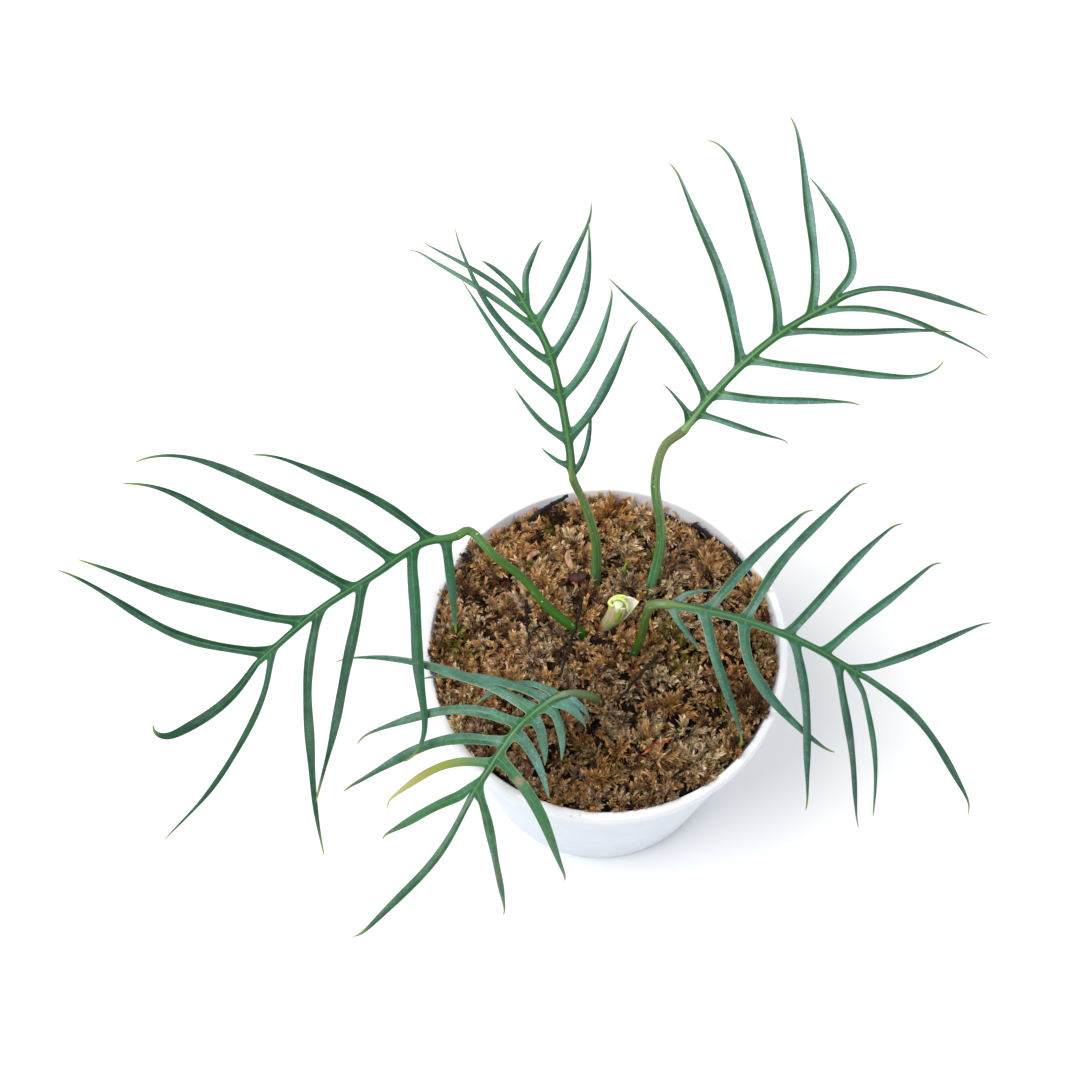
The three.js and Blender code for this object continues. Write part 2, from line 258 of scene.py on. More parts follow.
def grow(name, seedling, tree, **values):
    """Runs a tree on a seedling object and keeps what grew as a plain mesh of its own."""
    modifier = seedling.modifiers.new("growth", "NODES")
    modifier.node_group = tree
    for item in tree.interface.items_tree:
        if item.in_out == "INPUT" and item.name in values:
            modifier[item.identifier] = values[item.name]
    ready = seedling.evaluated_get(bpy.context.evaluated_depsgraph_get())
    mesh = bpy.data.meshes.new_from_object(ready)
    seedling.modifiers.remove(modifier)
    return show(name, mesh)

# %% Numbers on points, inside a tree
def kept_value(tree, name, kind="FLOAT"):
    """Reads what was kept on the points under a name."""
    return add(tree, "GeometryNodeInputNamedAttribute", {"Name": name}, data_type=kind).outputs["Attribute"]


def keep_value(tree, geometry, name, value, **settings):
    """Keeps a value on every point, or on every instance, under a name."""
    inputs = {"Geometry": geometry, "Name": name, "Value": value}
    return add(tree, "GeometryNodeStoreNamedAttribute", inputs, **settings).outputs["Geometry"]


def drawn(tree, seed, low=0.0, high=1.0):
    """A number that each point draws for itself, the same on every run. Its sockets go by their order."""
    return add(tree, "FunctionNodeRandomValue", {2: low, 3: high, 8: seed}, data_type="FLOAT").outputs[1]

# %% Shader shorthands
def colour(red, green, blue):
    """A colour as a screen shows it, 0 to 255, turned into the light values that shaders take."""
    share = np.array([red, green, blue]) / 255
    light = np.where(share <= 0.04045, share / 12.92, ((share + 0.055) / 1.055) ** 2.4)
    return (*light.tolist(), 1.0)


def new_finish(name, roughness):
    """A new material, with its node tree and the shader node in it."""
    finish = bpy.data.materials.new(name)
    finish.use_nodes = True
    skin = finish.node_tree.nodes["Principled BSDF"]
    skin.inputs["Roughness"].default_value = roughness
    return finish, finish.node_tree, skin


def trait(tree, name, output="Fac"):
    """Reads a trait that the mesh keeps on its points."""
    return add(tree, "ShaderNodeAttribute", attribute_name=name).outputs[output]


print("half grey on a screen is", round(colour(128, 128, 128)[0], 2), "as light")

# %% Blending colours
def ramp(tree, value, low, high, out_low=0.0, out_high=1.0):
    """A soft step from low to high."""
    ends = {"Value": value, "From Min": low, "From Max": high, "To Min": out_low, "To Max": out_high}
    return add(tree, "ShaderNodeMapRange", ends, interpolation_type="SMOOTHSTEP").outputs["Result"]


def blend(tree, share, first, second):
    """Two colours mixed by a share. The sockets of the Mix node go by their order."""
    return add(tree, "ShaderNodeMix", {0: share, 6: first, 7: second}, data_type="RGBA").outputs[2]


def mottled(tree, pattern, low, high, first, second):
    """Two colours, the first where a pattern is low and the second where it is high."""
    return blend(tree, ramp(tree, pattern, low, high), colour(*first), colour(*second))


def washed(tree, shade, pattern, low, high, over, most=1.0):
    """Lays a colour over a shade where a pattern nears high, at most as strongly as said."""
    return blend(tree, ramp(tree, pattern, low, high, 0.0, most), shade, colour(*over))


def paint(tree, skin, shade):
    tree.links.new(shade, skin.inputs["Base Color"])

# %% Patterns and relief
def maths(tree, first, second=0.0, operation="MULTIPLY"):
    """Multiplies two values, or does another sum with them."""
    return add(tree, "ShaderNodeMath", {0: first, 1: second}, operation=operation).outputs[0]


def grain(tree, place, scale, detail=3.0, roughness=0.6):
    """Noise between 0 and 1 at a place."""
    settings = {"Vector": place, "Scale": scale, "Detail": detail, "Roughness": roughness}
    return add(tree, "ShaderNodeTexNoise", settings).outputs["Fac"]


def stretched(tree, place, scale):
    return add(tree, "ShaderNodeMapping", {"Vector": place, "Scale": scale}).outputs["Vector"]


def object_place(tree):
    return add(tree, "ShaderNodeTexCoord").outputs["Object"]


def relief(tree, skin, height, depth_mm, strength=1.0):
    """Makes a skin look raised where a value is high."""
    bump = add(tree, "ShaderNodeBump", {"Strength": strength, "Distance": depth_mm * MM, "Height": height})
    tree.links.new(bump.outputs["Normal"], skin.inputs["Normal"])

# %% [markdown]
# ## Camera
# The plant was taken from well above its front. A pot's rim and base give the camera away: with a
# 66 mm lens on a full frame, 650 mm from the rim and tipped 63 degrees down, both ellipses and the
# taper fall where they should. Every leaf was measured through this camera, so it comes first.

# %% The camera
def set_camera(place_mm, tip_deg, lens, sensor=36):
    """A camera that looks along +Y and is tipped down; lens and sensor are in millimetres."""
    eye = bpy.data.cameras.new("camera")
    eye.lens = lens
    eye.sensor_width = sensor
    eye.clip_start = 0.01
    camera = bpy.data.objects.new("camera", eye)
    camera.location = [x * MM for x in place_mm]
    camera.rotation_euler = (math.radians(90 - tip_deg), 0, 0)
    bpy.context.scene.collection.objects.link(camera)
    bpy.context.scene.camera = camera
    return camera


camera = set_camera(place_mm=(-21.3, -261.4, 689.7), tip_deg=63.25, lens=66)
print("camera stands at", [round(x, 3) for x in camera.location])

# %% [markdown]
# ## Floor and light
# The picture is a bright studio one: a white ground, hardly any shadow, and a large soft light from
# above on the left, which shows as a pale sheen on one half of each leaflet; that sheen is also painted
# into the leaves' bloom. A white floor, an even white surround and two broad area lights do the rest.
# The plain view transform keeps colours as picked.

# %% A pale floor
def pale_floor(half=3000, below=0.3):
    """A wide square, a hair under the pot."""
    corners = [(-half, -half), (half, -half), (half, half), (-half, half)]
    floor = mesh_piece("floor", [(x, y, -below) for x, y in corners], [(0, 1, 2, 3)])
    finish, _, skin = new_finish("studio_floor", 0.7)
    skin.inputs["Base Color"].default_value = (0.92, 0.92, 0.92, 1)
    floor.data.materials.append(finish)
    print("the floor is", 2 * half * MM, "m wide")


pale_floor()

# %% Soft light
def soft_light(name, place, aim, size, power):
    """A round area light, with its place, aim and size in metres and its power in watts."""
    lamp = bpy.data.lights.new(name, "AREA")
    lamp.shape = "DISK"
    lamp.size = size
    lamp.energy = power
    light = bpy.data.objects.new(name, lamp)
    light.location = place
    light.rotation_euler = (Vector(aim) - Vector(place)).to_track_quat("-Z", "Y").to_euler()
    bpy.context.scene.collection.objects.link(light)


def light_up():
    plant = (0, 0, 0.1)
    soft_light("window_light", place=(-0.6, -0.28, 1.27), aim=plant, size=0.8, power=16.5)
    soft_light("fill_light", place=(0.7, 0.6, 1.1), aim=plant, size=1.3, power=5)
    world = bpy.data.worlds.new("studio")
    world.use_nodes = True
    surround = world.node_tree.nodes["Background"]
    surround.inputs["Color"].default_value = (0.97, 0.985, 1, 1)
    surround.inputs["Strength"].default_value = 0.6
    bpy.context.scene.world = world
    bpy.context.scene.view_settings.view_transform = "Standard"


light_up()

# %% [markdown]
# ## Pot
# The pot is a turned form: a thin wall that tapers from a narrow lip to a rounded foot. Blender could
# turn it with a Screw modifier or a spun edge; here its profile is written as a list of straight runs
# and round corners, and carried round in code, which keeps the poles closed and all faces outward.

# %% The pot's profile
def pot_inside(z):
    """How far the wall's inner face is from the axis at a height."""
    share = (z - POT["floor"]) / (POT["height"] - POT["floor"])
    return POT["base"] - POT["wall"] + share * (POT["rim"] - POT["lip_width"] - POT["base"] + POT["wall"])


def rounded(corners, steps=5):
    """A profile with each corner replaced by an arc-like curve of the given radius."""
    line = [corners[0][:2]]
    for before, (r, z, radius), after in zip(corners, corners[1:-1], corners[2:]):
        here = np.array([r, z], float)
        back, on = np.array(before[:2]) - here, np.array(after[:2]) - here
        start = here + back / np.linalg.norm(back) * radius
        stop = here + on / np.linalg.norm(on) * radius
        for t in np.linspace(0, 1, steps):
            line.append((1 - t) ** 2 * start + 2 * t * (1 - t) * here + t * t * stop)
    return np.array(line + [corners[-1][:2]])


def pot_profile():
    """From the middle of the underside round the wall to the middle of the inner floor.
    A corner reads: distance from the axis, height, rounding."""
    top, rim, under_lip = POT["height"], POT["rim"], POT["height"] - POT["lip_height"]
    wall = pot_inside(under_lip) + POT["wall"]
    return rounded([
        (0, 0), (POT["base"], 0, 2.0), (wall, under_lip, 0.5), (rim - 0.1, under_lip + 0.3, 0.4),
        (rim, top, 0.9), (pot_inside(top), top, 0.7), (pot_inside(POT["floor"]), POT["floor"], 2.5),
        (0, POT["floor"])])


print("the wall's top is", round(pot_inside(POT["height"]), 1), "mm from the axis inside")

# %% Turning a profile
def turned(name, profile, sides):
    """Carries a profile, from pole to pole, round the Z axis."""
    angles = np.linspace(0, 2 * math.pi, sides, endpoint=False)
    inner = profile[1:-1]
    rings = np.stack([np.outer(inner[:, 0], np.cos(angles)), np.outer(inner[:, 0], np.sin(angles)),
                      np.repeat(inner[:, 1:], sides, 1)], -1)
    points = np.vstack([rings.reshape(-1, 3), [[0, 0, profile[0, 1]], [0, 0, profile[-1, 1]]]])
    first_pole, last_pole = len(points) - 2, len(points) - 1
    last_ring = (len(inner) - 1) * sides
    faces = []
    for j in range(sides):
        k = (j + 1) % sides
        faces += [(i + j, i + k, i + sides + k, i + sides + j) for i in range(0, last_ring, sides)]
        faces += [(k, j, first_pole), (last_ring + j, last_ring + k, last_pole)]
    piece = mesh_piece(name, points, faces)
    piece.data.shade_smooth()
    piece.data.set_sharp_from_angle(angle=math.radians(40))
    return piece


pot = turned("white_pot", pot_profile(), sides=144)
print("the pot has", len(pot.data.vertices), "points")

# %% [markdown]
# The plastic is white with a satin skin. What tells it from paper is small: a cool bluish cast, which is
# painted shade on the wall, with a paler band of painted light at the lip, a slightly uneven gloss, faint
# rings from the mould, and brown specks and scuffs along the inside of the lip where wet moss has dried.
# All of it is drawn from the pot's own coordinates, by noise and by height.

# %% White plastic
def white_plastic():
    finish, tree, skin = new_finish("white_plastic", 0.36)
    place = object_place(tree)
    height = add(tree, "ShaderNodeSeparateXYZ", {"Vector": place}).outputs["Z"]
    cloud = grain(tree, place, 38, 4)
    # Painted shade: the wall's bluish grey white stands for the shade on it.
    white_with_scuffs_and_painted_shade = blend(tree, cloud, colour(216, 226, 242), colour(228, 236, 248))
    # Painted light: from the lip up, the white is paler and less blue, as where the lip band catches light.
    white_with_scuffs_and_painted_shade = washed(tree, white_with_scuffs_and_painted_shade, height, 89.5 * MM, 91.5 * MM, (232, 234, 240))
    near_lip = ramp(tree, height, 83 * MM, 92.5 * MM)
    specks = ramp(tree, grain(tree, place, 420, 2), 0.70, 0.76)
    specks = maths(tree, maths(tree, specks, near_lip), 0.5)
    scuffs = grain(tree, stretched(tree, place, (90, 90, 420)), 1.0, 4)
    white_with_scuffs_and_painted_shade = washed(tree, white_with_scuffs_and_painted_shade, scuffs, 0.60, 0.75, (210, 216, 222), 0.22)
    paint(tree, skin, blend(tree, specks, white_with_scuffs_and_painted_shade, colour(150, 128, 100)))
    tree.links.new(ramp(tree, grain(tree, place, 160, 3), 0.3, 0.7, 0.3, 0.44), skin.inputs["Roughness"])
    skin.inputs["Subsurface Weight"].default_value = 0.5
    skin.inputs["Subsurface Radius"].default_value = (0.005, 0.005, 0.006)
    skin.inputs["Subsurface Scale"].default_value = 1.0
    rings = grain(tree, stretched(tree, place, (6, 6, 700)), 1.0, 2)
    relief(tree, skin, rings, 0.08, 0.25)
    return finish


pot.data.materials.append(white_plastic())
keep(pot, "white_plastic", "pot")

# %% [markdown]
# ## Moss bed
# Under the loose tufts the moss is a dark, lumpy mass that fills the pot: level with the rim at the
# front left and some 6 mm below it at the back and right, where the pot's inner wall shows. It follows
# the part's own height rule, a little lower, with lumps of noise so that gaps between tufts go deep.

# %% The moss bed's shape
BED = dict(depth=4.0, reach=56.6, wall_gap=0.5, floor_gap=0.4, foot=0.985, lump=2.4, lump_span=6.5)
HEAP = dict(wall=3.6, right=2.2, right_span=60, stub=2.4, stub_spot=(2, 1.5, 5))


def closeness(x, y, spot):
    """1 at a spot, falling off softly with distance. A spot reads: place from above, reach."""
    spot_x, spot_y, reach = spot
    return np.exp(-((x - spot_x) ** 2 + (y - spot_y) ** 2) / reach**2)


def moss_top(x, y):
    """How high the tufts reach, by the part's own rule."""
    brim = pot_inside(POT["height"])
    out = np.hypot(x, y) / brim
    dome = MOSS["rise"] - (MOSS["rise"] + MOSS["edge_drop"]) * out**2
    lumps = MOSS["lump"] * np.sin(x / MOSS["lump_span"] + 1) * np.cos(y / MOSS["lump_span"])
    return POT["height"] + dome - MOSS["edge_tilt"] * (x + y) / math.sqrt(2) / brim + lumps * (1 - out**4)


def bed_top_at(x, y):
    """The bed lies below the tufts' top, less so at the wall and the stub, where moss is heaped up."""
    out = math.hypot(x, y) / pot_inside(POT["height"])
    heap = (HEAP["wall"] + HEAP["right"] * max(0, x - 0.5 * y) / HEAP["right_span"]) * out**6
    heap += HEAP["stub"] * closeness(x, y, HEAP["stub_spot"])
    lumps = BED["lump"] * noise.noise(Vector((x / BED["lump_span"], y / BED["lump_span"], 3)))
    return moss_top(x, y) - BED["depth"] + lumps + heap


print("the bed's top is", round(float(bed_top_at(0, 0)), 1), "mm up in the middle")

# %% Closing the bed
def moss_bed(rings=34, sides=132):
    """Rings from the middle of the top to the wall, then down the wall to the pot's floor."""
    angles = np.linspace(0, 2 * math.pi, sides, endpoint=False)
    points = [(0, 0, bed_top_at(0, 0))]
    for out in BED["reach"] * np.arange(1, rings + 1) / rings:
        for angle in angles:
            x, y = out * math.cos(angle), out * math.sin(angle)
            z = bed_top_at(x, y)
            inward = min(1, (pot_inside(z) - BED["wall_gap"]) / math.hypot(x, y))
            points.append((x * inward, y * inward, z))
    deep = POT["floor"] + BED["floor_gap"]
    foot = pot_inside(deep) * BED["foot"]
    points += [(foot * math.cos(angle), foot * math.sin(angle), deep) for angle in angles]
    points.append((0, 0, deep))
    last_ring = 1 + rings * sides
    faces = []
    for j in range(sides):
        k = (j + 1) % sides
        faces.append((0, 1 + j, 1 + k))
        faces += [(i + j, i + sides + j, i + sides + k, i + k) for i in range(1, last_ring, sides)]
        faces.append((last_ring + j, len(points) - 1, last_ring + k))
    bed = mesh_piece("moss_bed", points, faces)
    bed.data.shade_smooth()
    return bed


bed = moss_bed()
print("the bed has", len(bed.data.vertices), "points")

# %% [markdown]
# What shows of the bed, deep between the tufts, is nearly black at the front right and browner at the
# back left: painted shade and painted light across the bed. A gradient across the bed sets that, and
# noise breaks it up into crumbs.

# %% Dark peat
def dark_peat():
    finish, tree, skin = new_finish("dark_peat", 0.95)
    place = object_place(tree)
    crumbs = grain(tree, place, 420, 6, 0.7)
    peat_in_painted_shade = mottled(tree, crumbs, 0.42, 0.74, (9, 7, 6), (52, 36, 24))
    peat_in_painted_light = mottled(tree, crumbs, 0.42, 0.74, (26, 19, 13), (96, 68, 44))
    sides = add(tree, "ShaderNodeSeparateXYZ", {"Vector": place}).outputs
    towards_back = maths(tree, sides["Y"], sides["X"], "SUBTRACT")
    # Painted light and shade: paler towards the back left, darker towards the front right.
    brown = blend(tree, ramp(tree, towards_back, -45 * MM, 45 * MM), peat_in_painted_shade, peat_in_painted_light)
    paint(tree, skin, brown)
    skin.inputs["Specular IOR Level"].default_value = 0.1
    relief(tree, skin, crumbs, 1.2, 1.0)
    return finish


bed.data.materials.append(dark_peat())
keep(bed, "sphagnum", "moss")

# %% [markdown]
# ## Moss tufts
# Dry sphagnum lies in heads of short branches. A branch is a soft tassel of narrow leaves that are dark
# at the root and pale at the tip, partly from real bleaching and partly as painted light: lit tips, and
# painted shade deep in the tassel and between leaves. Thousands of leaves can't be placed by hand, so five
# small branches are repeated by Geometry Nodes: first on the points of a little dome, which makes one
# head, and then the heads over the bed, each turned, tipped and sized at random. Sprigs, which are heads
# with few branches, fill in between the heads, and a fringe of them lies along the wall.

# %% Branches to repeat
BRANCH_KINDS = 5
FULL_TURN = 6.28  # in radians
LEAF_TURN = 2.4  # from one leaf of a branch to the next


def moss_branch(name, seed, leaves=42, length=3.7, broadest=0.6):
    """A small soft tassel: narrow leaves that overlap along a bent stem and point outwards and on."""
    chance = np.random.default_rng(seed)
    points, faces, along = [], [], []
    lean = chance.uniform(0.3, 1.3)
    for i in range(leaves):
        a = i * LEAF_TURN + chance.uniform(-0.6, 0.6)
        out = np.array([math.cos(a), math.sin(a), 0])
        across = np.array([-math.sin(a), math.cos(a), 0.3 * chance.normal()])
        foot = 0.85 * (i + 0.5) / leaves
        long = chance.uniform(1.1, 1.9) * (1.1 - 0.3 * foot)
        splay = math.radians(chance.uniform(22, 62) * (1.1 - 0.75 * foot))
        curl = chance.uniform(-0.3, 0.15)
        # Each leaf draws its brightness: real bleaching, and painted light and shade that sets it apart
        # from its neighbours.
        wide, bleach_and_painted_light = chance.uniform(0.2, 0.38), min(1, chance.uniform(0.45, 1.12))
        stem = np.array([0, lean * foot**2, length * foot])
        ahead = np.array([0, 0, math.cos(splay)])
        shares = np.array([0, broadest, 1, broadest])[:, None]
        leaf = stem + long * (shares * ahead + (shares * math.sin(splay) + curl * shares**2) * out)
        leaf[1] += across * wide / 2
        leaf[3] -= across * wide / 2
        faces.append(range(len(points), len(points) + 4))
        points += list(leaf)
        # Darker towards the stem's foot and each leaf's root: partly real, partly painted shade deep in the
        # tassel.
        along += list(bleach_and_painted_light * (0.55 * foot + 0.45 * shares[:, 0]))
    return mesh_piece(name, points, faces, along=along)


branches = bpy.data.collections.new("moss_branches")
for i in range(BRANCH_KINDS):
    branch = moss_branch(f"moss_branch_{i}", seed=20 + i)
    bpy.context.scene.collection.objects.unlink(branch)
    branches.objects.link(branch)
print("a moss branch has", len(branch.data.polygons), "leaves")

# %% The dome that a head grows on
def head_dome(name, rings, seed, radius=0.7):
    """Points of one moss head, each with the direction its branch takes, a little uneven.
    A ring reads: degrees from upright, number of branches."""
    chance = np.random.default_rng(seed)
    ways = []
    for number, (polar, count) in enumerate(rings):
        for i in range(count):
            a = 2 * math.pi * (i + 0.37 * number + chance.uniform(-0.3, 0.3)) / count
            p = math.radians(polar + chance.uniform(-12, 12))
            ways.append((math.sin(p) * math.cos(a), math.sin(p) * math.sin(a), math.cos(p)))
    dome = mesh_piece(name, np.array(ways) * radius, [], way=ways)
    bpy.context.scene.collection.objects.unlink(dome)
    return dome


dome = head_dome("head_dome", rings=((12, 3), (40, 5), (66, 6)), seed=3)
sprig_dome = head_dome("sprig_dome", rings=((14, 1), (42, 3)), seed=5)
print("a head has", len(dome.data.vertices), "branches and a sprig", len(sprig_dome.data.vertices))

# %% The nodes for one head
def one_head(tree, given):
    """A branch on every point of the dome, turned its way, with a size and a tint of its own."""
    shapes = add(tree, "GeometryNodeCollectionInfo",
                 {"Collection": given["Branches"], "Separate Children": True, "Reset Children": True})
    dome = add(tree, "GeometryNodeObjectInfo", {"Object": given["Dome"]})
    points = add(tree, "GeometryNodeMeshToPoints", {"Mesh": dome.outputs["Geometry"]})
    way = kept_value(tree, "way", "FLOAT_VECTOR")
    aim = add(tree, "FunctionNodeAlignRotationToVector", {"Vector": way}, axis="Z")
    pick = add(tree, "FunctionNodeRandomValue", {4: 0, 5: BRANCH_KINDS - 1, 8: 5}, data_type="INT")
    head = add(tree, "GeometryNodeInstanceOnPoints", {
        "Points": points.outputs[0], "Instance": shapes.outputs[0], "Pick Instance": True,
        "Instance Index": pick.outputs[2], "Rotation": aim.outputs[0],
        "Scale": drawn(tree, 6, 0.75, 1.25)})
    return keep_value(tree, head.outputs[0], "branch_tint", drawn(tree, 7), domain="INSTANCE")


def head_spots(tree, given):
    """Spots all over the bed, less those whose draw falls to another colour, and how each is turned."""
    share = maths(tree, kept_value(tree, "at_wall"), given["Inside"], "MAXIMUM")
    spots = add(tree, "GeometryNodeDistributePointsOnFaces", {
        "Mesh": given["Geometry"], "Distance Min": given["Spacing"], "Density Max": 2e5,
        "Density Factor": share, "Seed": given["Seed"]}, distribute_method="POISSON")
    kind = maths(tree, drawn(tree, 11), kept_value(tree, "kind_lean"), "ADD")
    low = add(tree, "FunctionNodeCompare", {"A": kind, "B": given["Lowest"]}, operation="LESS_THAN")
    high = add(tree, "FunctionNodeCompare", {"A": kind, "B": given["Highest"]}, operation="GREATER_EQUAL")
    other = add(tree, "FunctionNodeBooleanMath", {0: low.outputs[0], 1: high.outputs[0]}, operation="OR")
    chosen = add(tree, "GeometryNodeDeleteGeometry",
                 {"Geometry": spots.outputs["Points"], "Selection": other.outputs[0]})
    back_tip = add(tree, "ShaderNodeVectorMath", {0: given["Tip"], 1: (-1, -1, 0)}, operation="MULTIPLY")
    tip = add(tree, "FunctionNodeRandomValue", {0: back_tip.outputs[0], 1: given["Tip"], 8: 12},
              data_type="FLOAT_VECTOR")
    tip = add(tree, "FunctionNodeEulerToRotation", {0: tip.outputs[0]})
    tipped = add(tree, "FunctionNodeRotateRotation",
                 {"Rotation": spots.outputs["Rotation"], "Rotate By": tip.outputs[0]},
                 rotation_space="LOCAL")
    return chosen.outputs[0], tipped.outputs[0]

# %% The tree that scatters heads
def moss_tree():
    tree, given, out = growth_tree(
        "moss_heads", Branches="Collection", Dome="Object", Spacing="Float", Seed="Int",
        Inside="Float", Lowest="Float", Highest="Float", Size="Float", Tip="Vector", Finish="Material")
    spots, tipped = head_spots(tree, given)
    draw = drawn(tree, 13)
    size = ramp(tree, maths(tree, draw, draw), 0.0, 1.0, 0.64, 1.5)
    size = maths(tree, maths(tree, size, given["Size"]), kept_value(tree, "small"))
    heads = add(tree, "GeometryNodeInstanceOnPoints", {
        "Points": spots, "Instance": one_head(tree, given), "Rotation": tipped, "Scale": size})
    heads = keep_value(tree, heads.outputs[0], "head_tint", drawn(tree, 14), domain="INSTANCE")
    real = add(tree, "GeometryNodeRealizeInstances", {"Geometry": heads})
    done = add(tree, "GeometryNodeSetMaterial", {"Geometry": real.outputs[0], "Material": given["Finish"]})
    tree.links.new(done.outputs[0], out["Geometry"])
    return tree


heads_tree = moss_tree()
print("moss tree has", len(heads_tree.nodes), "nodes")

# %% [markdown]
# The bed isn't covered evenly. A few heads are still olive green, in patches, and in some places the
# moss stays short, so that the dark bed shows. These places are listed and kept on the bed's
# points as soft spots, which the tree reads. Only the top of the bed is grown on.

# %% Where moss leans to green or stays small
GREEN_PATCHES = [  # place from above, reach
    (24.5, 2, 4), (25.5, -6, 3), (-2, -39, 3), (3, -44, 2.5), (-5, 53, 2), (-15, 45, 2), (-30, -30, 2)]
HOLES = [
    (-5.5, 5.5, 3), (43, 17, 3), (25, 26, 2.5), (27, -17, 4), (31, 2, 3), (-27, 6, 4), (-17, -8, 3),
    (12, -30, 3), (36, -24, 3), (-38, 10, 3), (14, 40, 3), (-8, 44, 3), (40, 12, 3)]
GREEN_LEAN, HOLE_DEPTH = 1.2, 0.75
WALL_STRIP = dict(start=48, fade=5)


def places_of(mesh):
    """A mesh's points in millimetres."""
    places = np.empty(len(mesh.vertices) * 3, np.float32)
    mesh.vertices.foreach_get("co", places)
    return places.reshape(-1, 3).astype(float) / MM


def mark_bed(bed):
    x, y, _ = places_of(bed.data).T
    lean, small = np.zeros(len(x)), np.ones(len(x))
    for spot in GREEN_PATCHES:
        lean += GREEN_LEAN * closeness(x, y, spot)
    for spot in HOLES:
        small *= 1 - HOLE_DEPTH * closeness(x, y, spot)
    at_wall = np.clip((np.hypot(x, y) - WALL_STRIP["start"]) / WALL_STRIP["fade"], 0, 1)
    for name, values in (("kind_lean", lean), ("small", small), ("at_wall", at_wall)):
        layer = bed.data.attributes.new(name, "FLOAT", "POINT")
        layer.data.foreach_set("value", values.astype(np.float32))


mark_bed(bed)
print("green patches:", len(GREEN_PATCHES), "and places with short moss:", len(HOLES))

# %% The top of the bed, to scatter on
def bed_top(bed, least_upright=0.2, lowest=80):
    """A copy of the bed with only the faces that look up, above a height in millimetres."""
    top = bed.copy()
    top.data = bed.data.copy()
    bpy.context.scene.collection.objects.link(top)
    form = bmesh.new()
    form.from_mesh(top.data)
    form.normal_update()
    under = [face for face in form.faces
             if face.normal.z < least_upright or face.calc_center_median().z < lowest * MM]
    bmesh.ops.delete(form, geom=under, context="FACES")
    form.to_mesh(top.data)
    form.free()
    return top


top = bed_top(bed)
print("moss grows on", len(top.data.polygons), "faces")

# %% [markdown]
# The heads differ in colour: tan, buff and straw ones, golden, grey and dark brown ones, and the olive
# ones. Each colour is a piece of its own. Within a piece the colour depends only on how far along its
# leaf a point lies and on a tint, and these two numbers are also its UV map, so the same small picture
# of colours serves thousands of leaves. The tint mixes what each head and branch drew with where it
# grows, and that part is painted light and shade: darker at the front right, paler at the back left,
# and palest in two painted pools of light where the left and right leaves would shade the moss.

# %% Moss colours
def moss_finish(name, root, middle, tip):
    finish, tree, skin = new_finish(name, 0.9)
    spot = add(tree, "ShaderNodeUVMap", uv_map="OFBake").outputs["UV"]
    parts = add(tree, "ShaderNodeSeparateXYZ", {"Vector": spot}).outputs
    shade = mottled(tree, parts["X"], 0.05, 0.55, root, middle)
    shade = washed(tree, shade, parts["X"], 0.5, 1.0, tip)
    # A low tint darkens the leaves: partly each head's own colour, partly painted shade set by the place on
    # the bed.
    tint_and_painted_shade = ramp(tree, parts["Y"], 0.0, 0.85, 0.46, 0.0)
    paint(tree, skin, blend(tree, tint_and_painted_shade, shade, colour(58, 36, 16)))
    skin.inputs["Specular IOR Level"].default_value = 0.25
    return finish


MOSS_KINDS = {  # lowest and highest draw, and the colours of root, middle and tip
    "moss_dark": (-9, 0.13, (28, 18, 10), (130, 92, 58), (210, 172, 132)),
    "moss_golden": (0.13, 0.31, (60, 37, 17), (222, 164, 98), (255, 222, 164)),
    "moss_tan": (0.31, 0.53, (66, 43, 22), (242, 194, 128), (255, 242, 212)),
    "moss_buff": (0.53, 0.73, (66, 43, 23), (234, 184, 126), (255, 240, 210)),
    "moss_straw": (0.73, 0.87, (62, 42, 23), (252, 222, 172), (255, 252, 242)),
    "moss_grey": (0.87, 0.98, (46, 34, 22), (202, 170, 134), (252, 238, 216)),
    "moss_olive": (0.98, 99, (38, 34, 10), (150, 136, 56), (216, 206, 118)),
}
print("moss colours:", ", ".join(MOSS_KINDS))

# %% Reading and mapping a mesh
def read_trait(mesh, name, fallback=0.5):
    layer = mesh.attributes.get(name)
    values = np.full(len(mesh.vertices), fallback, np.float32)
    if layer:
        layer.data.foreach_get("value", values)
    return values


def corner_points(mesh):
    """The point at each corner of each face."""
    corners = np.empty(len(mesh.loops), np.int32)
    mesh.loops.foreach_get("vertex_index", corners)
    return corners


def inset(share, margin):
    """Keeps a share between 0 and 1 off both ends, so that a map's parts don't touch."""
    return margin + (1 - 2 * margin) * share


def lay_map(mesh, spots):
    """Gives a mesh the UV map that its colours are read from and baked on, one spot for each corner."""
    layer = mesh.uv_layers.new(name="OFBake")
    layer.uv.foreach_set("vector", np.asarray(spots, np.float32).ravel())

# %% The tint of the moss
PAINTED_LIGHT_POOLS = [(-38, 13, 15), (36, -6, 12)]
# The bed's share of the tint is painted light and shade, set by the place on the bed.
TINT_SHARES = dict(head=0.28, branch=0.28, bed=0.44)


def painted_light_share(mesh, reach=90):
    """Painted light: from 0 at the front right of the bed to 1 at its back left, and more in two painted
    pools of light.
    """
    x, y, _ = places_of(mesh).T
    share = np.clip(0.5 + (y - x) / reach, 0, 1)
    for patch in PAINTED_LIGHT_POOLS:
        share += closeness(x, y, patch)
    return share


def lay_moss_map(mesh):
    bleach_and_painted_light = painted_light_share(mesh)
    tint = TINT_SHARES["head"] * read_trait(mesh, "head_tint")
    tint += TINT_SHARES["branch"] * read_trait(mesh, "branch_tint")
    tint = tint + TINT_SHARES["bed"] * np.minimum(bleach_and_painted_light, 1)
    # In the painted pools of light the leaves are paler further along, as lit.
    along = np.minimum(1, read_trait(mesh, "along") * (1 + 0.35 * np.maximum(bleach_and_painted_light - 1, 0)))
    lay_map(mesh, inset(np.stack([along, tint], 1), 0.03)[corner_points(mesh)])


print("shares of a tint:", TINT_SHARES)

